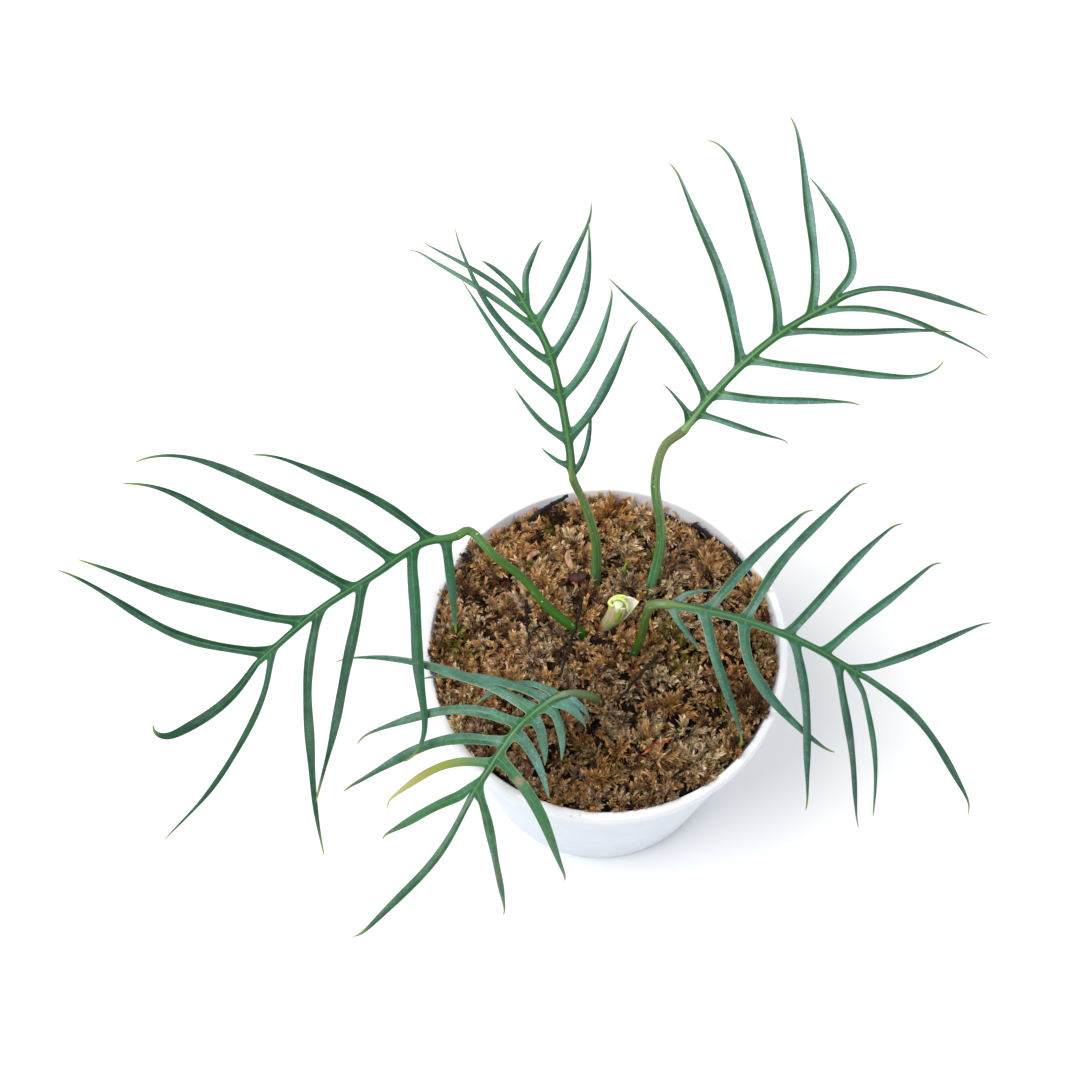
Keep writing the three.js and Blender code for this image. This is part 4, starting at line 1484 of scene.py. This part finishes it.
# %% Upper side of a leaf
def leaf_skin(name, deep, fresh, vein, sheen, scars=()):
    finish, tree, skin = new_finish(name, 0.4)
    place = object_place(tree)
    along, edge = trait(tree, "along"), trait(tree, "edge")
    mottle = maths(tree, grain(tree, place, 210, 4), maths(tree, trait(tree, "tint"), 0.35), "ADD")
    shade = mottled(tree, mottle, 0.38, 0.95, deep, fresh)
    shade = blend(tree, maths(tree, trait(tree, "wing"), 0.3), shade, colour(30, 84, 40))
    # The film is real bluish bloom plus painted sheen on the lit half of each leaflet; its specks follow
    # it.
    cloud = ramp(tree, grain(tree, place, 95, 3), 0.3, 0.7, 0.45, 1.0)
    bloom_film_and_painted_sheen = maths(tree, trait(tree, "bloom"), cloud)
    shade = blend(tree, maths(tree, bloom_film_and_painted_sheen, 0.85), shade, colour(100, 142, 136))
    specks = ramp(tree, grain(tree, place, 1300, 3), 0.5, 0.7, 0.0, 0.55)
    shade = blend(tree, maths(tree, specks, bloom_film_and_painted_sheen), shade, colour(150, 190, 186))
    pores = grain(tree, place, 900, 3)
    shade = washed(tree, shade, pores, 0.42, 0.3, (18, 62, 32), 0.4)
    shade = washed(tree, shade, trait(tree, "vein"), 0.62, 0.9, (96, 152, 76), vein)
    shade = washed(tree, shade, along, 0.86, 1.0, (122, 144, 56), 0.85)
    faded = mottled(tree, along, 0.35, 0.9, (134, 142, 52), (172, 164, 104))
    shade = blend(tree, trait(tree, "yellow"), shade, faded)
    rim = mottled(tree, along, 0.05, 0.6, (150, 176, 140), (112, 104, 66))
    shade = blend(tree, ramp(tree, edge, 0.66, 1.0, 0.0, 0.7), shade, rim)
    for spot, size, brown in scars:
        ends = {0: place, 1: [x * MM for x in spot]}
        far = add(tree, "ShaderNodeVectorMath", ends, operation="DISTANCE").outputs["Value"]
        ragged = maths(tree, far, maths(tree, grain(tree, place, 700, 3), 1.2 * MM), "SUBTRACT")
        shade = washed(tree, shade, ragged, size * MM, 0.0, brown, 0.85)
    paint(tree, skin, shade)
    skin.inputs["Specular IOR Level"].default_value = sheen
    gloss = maths(tree, grain(tree, place, 400, 3), 0.25)
    tree.links.new(maths(tree, gloss, 0.27, "ADD"), skin.inputs["Roughness"])
    relief(tree, skin, grain(tree, place, 620, 4), 0.2, 0.6)
    return finish

# %% Lower side of a leaf
def leaf_back():
    finish, tree, skin = new_finish("leaf_back", 0.55)
    place = object_place(tree)
    shade = mottled(tree, grain(tree, place, 260, 4), 0.3, 0.75, (58, 92, 46), (90, 120, 68))
    shade = washed(tree, shade, trait(tree, "vein"), 0.4, 0.95, (130, 150, 84), 0.8)
    shade = washed(tree, shade, trait(tree, "along"), 0.85, 1.0, (132, 146, 64), 0.8)
    shade = blend(tree, trait(tree, "yellow"), shade, colour(206, 194, 122))
    paint(tree, skin, shade)
    relief(tree, skin, grain(tree, place, 500, 3), 0.12, 0.4)
    return finish


back_skin = leaf_back()

# %% The rib, and each leaf's colours
def rib_skin(name, low, high, start):
    finish, tree, skin = new_finish(name, 0.42)
    place = object_place(tree)
    across = add(tree, "ShaderNodeSeparateXYZ", {"Vector": trait(tree, "section", "Vector")}).outputs["X"]
    shade = mottled(tree, across, -0.4, 0.8, low, high)
    shade = washed(tree, shade, grain(tree, place, 150, 3), 0.45, 0.7, (56, 104, 50), 0.6)
    shade = blend(tree, ramp(tree, trait(tree, "along"), 0.0, 0.17), colour(*start), shade)
    paint(tree, skin, shade)
    relief(tree, skin, grain(tree, place, 800, 3), 0.1, 0.4)
    return finish


LEAF_SKINS = {  # deep and fresh green, how clearly the veins show, and how much the surface shines
    "left": ((14, 54, 30), (38, 88, 54), 0.4, 0.12),
    "back": ((20, 68, 40), (56, 110, 66), 0.6, 0.35),
    "tall": ((14, 58, 30), (48, 100, 54), 0.8, 0.35),
    "right": ((10, 58, 32), (38, 94, 56), 0.3, 0.35),
    "front": ((20, 66, 26), (50, 106, 50), 0.45, 0.35),
}
RIB_SKINS = {  # colours along the low and the high side, then at the joint with the petiole
    "left": ((60, 98, 52), (54, 108, 56), (64, 112, 54)),
    "back": ((100, 128, 60), (74, 128, 62), (92, 122, 60)),
    "tall": ((98, 132, 66), (84, 138, 72), (108, 142, 80)),
    "right": ((70, 104, 62), (58, 114, 58), (98, 124, 68)),
    "front": ((104, 118, 74), (88, 130, 88), (114, 140, 104)),
}
print("leaf skins:", ", ".join(LEAF_SKINS))

# %% [markdown]
# A frond is put together from both wings, which meet at the rib's end, the leaflets on them, and one more
# leaflet that carries on from there. The rib itself is swept like a stalk: thick where it leaves the
# petiole, soon thin, half sunk into the blade, and running out along the end leaflet's vein.

# %% The sheet of one frond
def grow_sheet(name, chance):
    """The sheet of a whole blade, and how many strips it takes on the map."""
    leaf, stalk = LEAVES[name], STALKS[name]
    end_comb = leaf["end"]
    end_row = end_comb["rows"][0]
    end = end_row[0]
    sheet = Sheet()
    lefts, left_end = add_wing(sheet, leaf, stalk, -1, end, 0)
    rights, right_end = add_wing(sheet, leaf, stalk, 1, end, 1, axis_end=left_end[0])
    strip = 2
    for span in lefts + rights:
        root = on_rib(stalk, leaf, span["row"][0])
        span["skew"] = on_rib(stalk, leaf, span["middle"])[1][0] / span["slant"]
        add_leaflet(sheet, leaf, root, span["comb"], span["row"], span, strip, chance)
        strip += 1
    root = on_rib(stalk, leaf, end)
    socket = dict(first_row=left_end[:0:-1] + right_end, edge_middle=root[0][0], start=0.0,
                  half=float(wing_half(end, end)))
    add_leaflet(sheet, leaf, root, end_comb, end_row, socket, strip, chance, end_leaf=True)
    return sheet, strip + 1

# %% The rib of one frond
RIB = dict(steps=46, neck=4, settle=8, waist=0.85, middle=0.5, end=0.36, tip=0.18,
           tail=16, tail_steps=8, sunk=0.55, sunk_by=9, tail_sunk=0.85)


def grow_rib(name):
    leaf, stalk = LEAVES[name], STALKS[name]
    end_comb = leaf["end"]
    end_row = end_comb["rows"][0]
    end, length = end_row[:2]
    run = np.linspace(0, end, RIB["steps"])
    points, _, _, up = on_rib(stalk, leaf, run)
    root = on_rib(stalk, leaf, end)
    beyond = leaflet_line(root, end_comb, end_row)
    share = np.linspace(0, min(RIB["tail"], 0.5 * length), RIB["tail_steps"] + 1)[1:] / length
    points = np.vstack([points, points_at(beyond, np.linspace(0, 1, len(beyond)), share)])
    up = np.vstack([up, leaflet_ways(root, end_comb, end_row, share)[2]])
    neck = leaf.get("neck", RIB["neck"])
    thick = np.interp(run, [0, neck, neck + RIB["settle"], end],
                      [leaf["thick"][1] + 0.03, RIB["waist"], RIB["middle"], RIB["end"]])
    thick = np.concatenate([thick, np.linspace(RIB["end"], RIB["tip"], RIB["tail_steps"] + 1)[1:]])
    sunk = np.interp(run, [0, RIB["sunk_by"]], [0, RIB["sunk"]])
    sunk = np.concatenate([sunk, np.full(RIB["tail_steps"], RIB["tail_sunk"])])
    line = points - up * (thick * sunk)[:, None]
    finish = rib_skin("rib_" + name, *RIB_SKINS[name])
    return sweep("rib_" + name, line, up, thick, finish, sides=12, ridges=5.0, ridge_depth=0.03)

# %% The five fronds
SCARS = {"front": [  # place, size and colour of a brown spot
    (leaf_place("front", -1, 32, 0.2), 1.7, (150, 128, 104)),
    (leaf_place("front", -1, 44, 0.62), 1.9, (98, 82, 58))]}


def grow_frond(name, seed):
    sheet, strips = grow_sheet(name, np.random.default_rng(seed))
    longest = max(spot[0] for face in sheet.spots for spot in face)
    frond, total = blade_mesh("frond_blade_" + name, sheet, strips, longest)
    frond.data.materials.append(leaf_skin("leaf_" + name, *LEAF_SKINS[name], SCARS.get(name, ())))
    frond.data.materials.append(back_skin)
    subdivided(frond)
    rib = grow_rib(name)
    lay_map(rib.data, stalk_map(rib.data, (total - 1) / total, 1.0))
    joined(frond, rib)
    keep(frond, "leaf", "frond_" + name)


for number, name in enumerate(LEAVES):
    grow_frond(name, seed=40 + number)

# %% [markdown]
# ## Cut shoot
# In the middle stands what is left of a shoot: a pale sheath that flares upward and is open at its
# front right, round a white cut core, with a curled yellow-green lip, a loose ribbon of leaf and a
# green slit below it. These are thin sheets, so each is written as a grid of points in space and
# closed into a body with two faces and a rim.

# %% A thin closed sheet
def thick_sheet(name, grid, thick, finish, left=0.0, right=1.0):
    """Closes a grid of points, rows by columns, into a thin body, mapped between left and right."""
    rows, columns = grid.shape[:2]
    count = rows * columns
    out = unit(np.cross(np.gradient(grid, axis=1), np.gradient(grid, axis=0))) * thick / 2
    points = np.vstack([(grid + out).reshape(-1, 3), (grid - out).reshape(-1, 3)])
    index = np.arange(count).reshape(rows, columns)
    faces = np.stack([index[:-1, :-1], index[:-1, 1:], index[1:, 1:], index[1:, :-1]], -1).reshape(-1, 4)
    loop = np.concatenate([index[0, :-1], index[:-1, -1], index[-1, :0:-1], index[:0:-1, 0]])
    after = np.roll(loop, -1)
    rim = np.stack([after, loop, loop + count, after + count], 1)
    along, around = np.meshgrid(np.linspace(0, 1, rows), np.linspace(0, 1, columns), indexing="ij")
    along, around = np.tile(along.ravel(), 2), np.tile(around.ravel(), 2)
    inner = np.repeat([0.0, 1.0], count)
    piece = mesh_piece(name, points, np.vstack([faces, faces[:, ::-1] + count, rim]).tolist(),
                       along=along, around=around, inner=inner)
    # On the map the outer face lies left, the inner one beside it, and the rim in a narrow column.
    spots = np.stack([0.01 + 0.45 * around + 0.48 * inner, inset(along, 0.02)], 1)
    spots = spots[corner_points(piece.data)]
    step = np.linspace(0.02, 0.97, len(loop) + 1)
    rim_corners = ((0.96, step[1:]), (0.96, step[:-1]), (0.99, step[:-1]), (0.99, step[1:]))
    rim_spots = np.stack([np.stack([np.full(len(loop), x), y], 1) for x, y in rim_corners], 1)
    spots[-4 * len(loop):] = rim_spots.reshape(-1, 2)
    spots[:, 0] = left + (right - left) * spots[:, 0]
    lay_map(piece.data, spots)
    piece.data.shade_smooth()
    piece.data.materials.append(finish)
    return piece

# %% The shoot's outline
CUT_SHOOT = dict(line=[[0.5, 6, 86], [0.6, 6, 97], [3.8, 6.6, 104.5], [6.1, 7.6, 112.5]],
                 half=[[2.2, 2.2, 0], [2.2, 2.0, 0], [3.5, 1.9, 0], [4.5, 1.5, 0]])


def on_shoot(share, angle, swell=1.0):
    """Points on the sheath: share is how far up, angle goes from the front, 0, to the right."""
    line, half = smooth_line(CUT_SHOOT["line"]), smooth_line(CUT_SHOOT["half"])
    step = np.asarray(share, float) * (len(line) - 1)
    x, y, z = (np.interp(step, np.arange(len(line)), line[:, i]) for i in range(3))
    wide, deep = (np.interp(step, np.arange(len(line)), half[:, i]) * swell for i in range(2))
    return np.stack([x + wide * np.sin(angle), y - deep * np.cos(angle), z], -1)


print("the cut shoot's top is", on_shoot(1.0, 0.0).round(1), "at its front")

# %% Sheath, lip and ribbon
def sheath_grid(rows=34, columns=60):
    """From its right edge round the back and the left to its front edge, which the cut leaves open."""
    up, across = np.meshgrid(np.linspace(0, 1, rows), np.linspace(0, 1, columns), indexing="ij")
    opened = np.clip((up - 0.55) / 0.45, 0, 1)
    right_edge = np.radians(-318 + 48 * opened)
    front_edge = np.radians(40 - 34 * opened)
    angle = right_edge + (front_edge - right_edge) * across
    share = up * (0.93 + 0.06 * (1 - np.cos(angle)) / 2) + 0.012 * np.sin(5 * angle) * up**8
    return on_shoot(share, angle, 1 + 0.03 * np.sin(9 * angle) * up**2)


def lip_grid(rows=20, columns=9):
    """The sheath's top left corner, rolled outward."""
    angle = np.radians(np.linspace(-185, -45, rows))
    share = 0.95 + 0.035 * (1 - np.cos(angle)) / 2
    edge, out = on_shoot(share, angle), np.stack([np.sin(angle), -np.cos(angle), 0 * angle], 1)
    roll = np.radians(np.linspace(0, 265, columns))
    size = 0.5 * np.sin(np.linspace(0.4, math.pi - 0.4, rows)) ** 0.7
    size *= 1 + 0.25 * np.sin(np.linspace(0, 9, rows))
    turn = out[:, None] * (1 - np.cos(roll))[:, None] + np.outer(np.sin(roll), [0, 0, 1])
    return edge[:, None] + size[:, None, None] * turn


def ribbon_grid(knots, width, view=(0, -0.45, 0.9)):
    """A strip of leaf along a line, lying open to the viewer."""
    line = smooth_line(knots, per=9)
    across = unit(np.cross(np.gradient(line, axis=0), view))
    taper = width * np.interp(np.linspace(0, 1, len(line)), [0, 0.2, 0.8, 1], [0.6, 1, 1, 0.45])
    return line[:, None] + across[:, None] * (taper[:, None] * np.linspace(-0.5, 0.5, 4))[:, :, None]

# %% [markdown]
# The sheath is drying: cream and olive with fine brown lines along it, green and then red at its foot,
# white inside. What is left of the leaf in it is a fresh yellow-green.

# %% Finishes of the cut shoot
def sheath_skin():
    finish, tree, skin = new_finish("cut_sheath", 0.5)
    along, around, inner = trait(tree, "along"), trait(tree, "around"), trait(tree, "inner")
    place = object_place(tree)
    lines = add(tree, "ShaderNodeCombineXYZ",
                {"X": maths(tree, around, 46.0), "Y": maths(tree, along, 3.0)}).outputs[0]
    cream = mottled(tree, along, 0.5, 0.72, (150, 166, 112), (196, 184, 136))
    cream = washed(tree, cream, along, 0.78, 1.0, (214, 206, 150))
    fibres = grain(tree, lines, 1.0, 4)
    cream = washed(tree, cream, fibres, 0.45, 0.68, (128, 104, 66), 0.7)
    foot = maths(tree, along, maths(tree, grain(tree, place, 400, 3), 0.1), "ADD")
    off_left = maths(tree, maths(tree, around, 0.62, "SUBTRACT"), operation="ABSOLUTE")
    left_side = ramp(tree, off_left, 0.26, 0.1)
    cream = blend(tree, maths(tree, ramp(tree, foot, 0.54, 0.47), left_side), cream, colour(158, 84, 72))
    cream = washed(tree, cream, around, 0.09, 0.02, (184, 200, 96), 0.85)
    white = mottled(tree, grain(tree, lines, 1.0, 3), 0.4, 0.7, (244, 242, 226), (222, 218, 186))
    paint(tree, skin, blend(tree, inner, cream, white))
    relief(tree, skin, grain(tree, lines, 1.4, 3), 0.2, 0.6)
    return finish


def young_leaf(name, low, high):
    finish, tree, skin = new_finish(name, 0.42)
    mottle = grain(tree, object_place(tree), 700, 3)
    paint(tree, skin, mottled(tree, mottle, 0.35, 0.65, low, high))
    relief(tree, skin, mottle, 0.12, 0.4)
    return finish

# %% The cut shoot
RIBBON = [(2.4, 8.4, 111.6), (3.7, 8.3, 113.0), (5.3, 7.8, 113.0), (6.7, 6.6, 111.6), (6.9, 5.4, 109.4)]
SLIT = [(3.2, 4.4, 103.2), (3.7, 4.5, 105.8), (4.5, 4.95, 109.4)]


def shoot_core(steps=16):
    """The white cut end inside the sheath: it fills the left half and is rounded off at the top."""
    low = on_shoot(np.linspace(0.3, 0.9, steps), np.zeros(steps), 0)
    low += np.outer(np.linspace(0, 1, steps), [-1.6, -0.1, 0])
    line = np.vstack([low, low[-1] + np.outer([0.5, 0.95, 1.3, 1.5], [0.2, 0.0, 1.0])])
    thick = np.concatenate([np.linspace(1.2, 1.75, steps), [1.65, 1.35, 0.8, 0.1]])
    front = np.tile([0.0, -1.0, 0.2], (len(line), 1))
    finish = young_leaf("cut_core", (236, 240, 214), (214, 226, 168))
    core = sweep("cut_shoot_core", line, front, thick, finish, sides=18, ridges=3.0)
    spots = stalk_map(core.data)
    lay_map(core.data, np.stack([0.61 + 0.13 * spots[:, 0], spots[:, 1]], 1))
    return core


def cut_shoot():
    yellow = young_leaf("young_leaf", (196, 212, 84), (226, 234, 150))
    green = young_leaf("green_slit", (104, 158, 22), (146, 182, 58))
    sheath = thick_sheet("cut_shoot_sheath", sheath_grid(), 0.4, sheath_skin(), 0.0, 0.6)
    lip = thick_sheet("cut_shoot_lip", lip_grid(), 0.26, yellow, 0.75, 0.85)
    ribbon = thick_sheet("cut_shoot_ribbon", ribbon_grid(RIBBON, 0.8), 0.3, yellow, 0.86, 0.92)
    slit = thick_sheet("cut_shoot_slit", ribbon_grid(SLIT, 1.3), 0.3, green, 0.93, 1.0)
    return joined(sheath, shoot_core(), lip, ribbon, slit)


keep(cut_shoot(), "cut_shoot", "cut_stub")

# %% [markdown]
# ## Litter on the moss
# Black twigs and old roots lie on the moss, one of them across the left stalk's foot, with two straws, a
# green sprout, a few pale wood chips, rust-red scraps and a lump of bark. Twigs are swept along short
# lines like the stalks, with knots and bends from a fixed draw; chips are small bent sheets.

# %% Where twigs lie
TWIGS = [  # places from above, height over the moss at either end, thickness
    ([(-7.5, 13.5), (-9.2, 5.8), (-12.2, -4.5), (-14.8, -13.8)], (3.6, 3.0), 0.55),
    ([(16.5, -6.3), (10.0, -14.2), (3.2, -22.0)], (3.2, 3.2), 0.58),
    ([(-25.9, 14.2), (-25.6, 6.0), (-24.6, -2.0)], (2.4, 2.4), 0.52),
    ([(-16.7, -4.8), (-14.4, -3.4), (-12.8, -1.6)], (2.0, 2.0), 0.55),
    ([(-25.2, 46.6), (-19.4, 50.2), (-11.8, 53.6)], (1.0, 7.6), 0.85),
    ([(30.6, 45.2), (41.0, 36.2), (46.4, 30.5), (49.5, 26.0)], (4.0, 4.0), 0.8),
    ([(1.1, 29.2), (6.0, 27.5), (10.4, 24.7)], (2.9, 2.9), 0.55),
    ([(7.9, -43.2), (9.6, -40.0), (10.6, -35.9)], (2.1, 2.1), 0.5),
    ([(-47.0, 32.2), (-45.6, 31.1), (-44.2, 30.0)], (4.6, 3.6), 0.75),
]
STRAWS = [
    ([(20.2, 26.2), (23.5, 29.2), (26.6, 32.0)], (2.6, 3.2), 0.5),
    ([(-30, -8), (-32, -5), (-33, -2)], (2, 2), 0.4),
]
SPROUT = [([(6.6, 25.4), (6.8, 25.9), (7.1, 27.0)], (0.5, 5.6), 0.55)]
print("twigs:", len(TWIGS), "and straws:", len(STRAWS))

# %% Laying twigs
def twig_bark(name, low, high):
    finish, tree, skin = new_finish(name, 0.75)
    place = object_place(tree)
    bark = mottled(tree, grain(tree, place, 500, 4), 0.4, 0.7, low, high)
    paint(tree, skin, bark)
    skin.inputs["Specular IOR Level"].default_value = 0.3
    relief(tree, skin, grain(tree, place, 900, 4), 0.3, 0.8)
    return finish


def gather(name, pieces):
    """Joins loose pieces of one kind and keeps them as litter on the moss."""
    litter = joined(*pieces)
    litter.name = name
    keep(litter, "sphagnum")


def lay_twigs(name, rows, bark, seed=8, crooked=0.14):
    chance = np.random.default_rng(seed)
    twigs = []
    for number, (places, lift, thick) in enumerate(rows):
        lifts = np.linspace(*lift, len(places))
        knots = [(x, y, float(moss_top(x, y)) + z) for (x, y), z in zip(places, lifts)]
        line = smooth_line(knots, per=10)
        line[1:-1] += chance.normal(0, crooked, (len(line) - 2, 3))
        ways = np.gradient(line, axis=0)
        upper = unit(np.cross(ways, np.cross([0, 0, 1.0], ways)))
        size = thick * np.linspace(1.1, 0.75, len(line)) * chance.uniform(0.88, 1.12, len(line))
        twig = sweep(f"{name}_{number}", line, upper, size, bark, sides=8, ridges=3.0, ridge_depth=0.08)
        spots = stalk_map(twig.data)
        lay_map(twig.data, np.stack([spots[:, 0], (number + spots[:, 1]) / len(rows)], 1))
        twigs.append(twig)
    gather(name, twigs)


lay_twigs("twigs_on_moss", TWIGS, twig_bark("twig_bark", (9, 7, 8), (40, 31, 30)))
lay_twigs("straws_on_moss", STRAWS, twig_bark("straw_bark", (96, 58, 30), (190, 130, 78)))
lay_twigs("sprout_in_moss", SPROUT, twig_bark("sprout_skin", (96, 132, 22), (150, 178, 52)))

# %% Where chips and scraps lie
CHIPS = [  # place from above, length, width, heading and tip in degrees, height over the moss
    (-23.7, 31.6, 5.0, 1.7, 32, 12, 2.7),
    (-11.4, 29.4, 6.4, 2.0, 100, 22, 2.7),
    (-27.6, 19.4, 4.8, 1.5, 118, 15, 2.9),
    (20.6, -29.5, 2.2, 0.9, 150, 15, 2.8),
    (34.9, -16.6, 1.8, 0.8, 140, 15, 2.8),
]
SCRAPS = [
    (12.4, -38.8, 3.4, 0.6, 25, 8, 3.2),
    (15.3, -36.6, 2.8, 0.5, 8, -6, 3.4),
    (18.2, -35.3, 4.2, 0.7, 14, 8, 3.2),
]
LUMP = [(-8.7, 23.2, 5.6, 3.4, 20, 10, 2.3)]
FLAKE_THICK = 0.3
print("chips:", len(CHIPS), "and scraps:", len(SCRAPS))

# %% Laying chips and scraps
def flake(x, y, length, width, heading, tip, lift):
    """A bent, pointed sliver that lies on the moss."""
    along, across = np.meshgrid(np.linspace(-0.5, 0.5, 9), np.linspace(-0.5, 0.5, 4), indexing="ij")
    h, t = math.radians(heading), math.radians(tip)
    ragged = 1 + 0.12 * np.sin(17 * along + y)
    bent = 0.07 * length * np.sin(4 * along + x)
    narrow = width * across * (1.02 - 3.6 * np.abs(along) ** 3) * ragged + bent
    reach = length * along * math.cos(t)
    east = x + reach * math.cos(h) - narrow * math.sin(h)
    north = y + reach * math.sin(h) + narrow * math.cos(h)
    rise = lift + length * along * math.sin(t) - 0.2 * length * along**2 - 0.15 * width * (2 * across) ** 2
    return np.stack([east, north, float(moss_top(x, y)) + rise], -1)


def wood(name, low, high):
    finish, tree, skin = new_finish(name, 0.7)
    streaks = grain(tree, stretched(tree, object_place(tree), (900, 300, 500)), 1.0, 4)
    paint(tree, skin, mottled(tree, streaks, 0.35, 0.65, low, high))
    relief(tree, skin, streaks, 0.2, 0.6)
    return finish


def lay_flakes(name, flakes, finish):
    ends = np.linspace(0, 1, len(flakes) + 1)
    gather(name, [thick_sheet(f"{name}_{i}", flake(*size), FLAKE_THICK, finish, ends[i], ends[i + 1])
                  for i, size in enumerate(flakes)])


lay_flakes("wood_chips", CHIPS, wood("pale_wood", (142, 104, 74), (206, 168, 130)))
lay_flakes("bark_scraps", SCRAPS, wood("rust_bark", (84, 32, 8), (200, 86, 22)))
lay_flakes("bark_lump", LUMP, wood("dark_bark", (20, 11, 9), (84, 36, 22)))
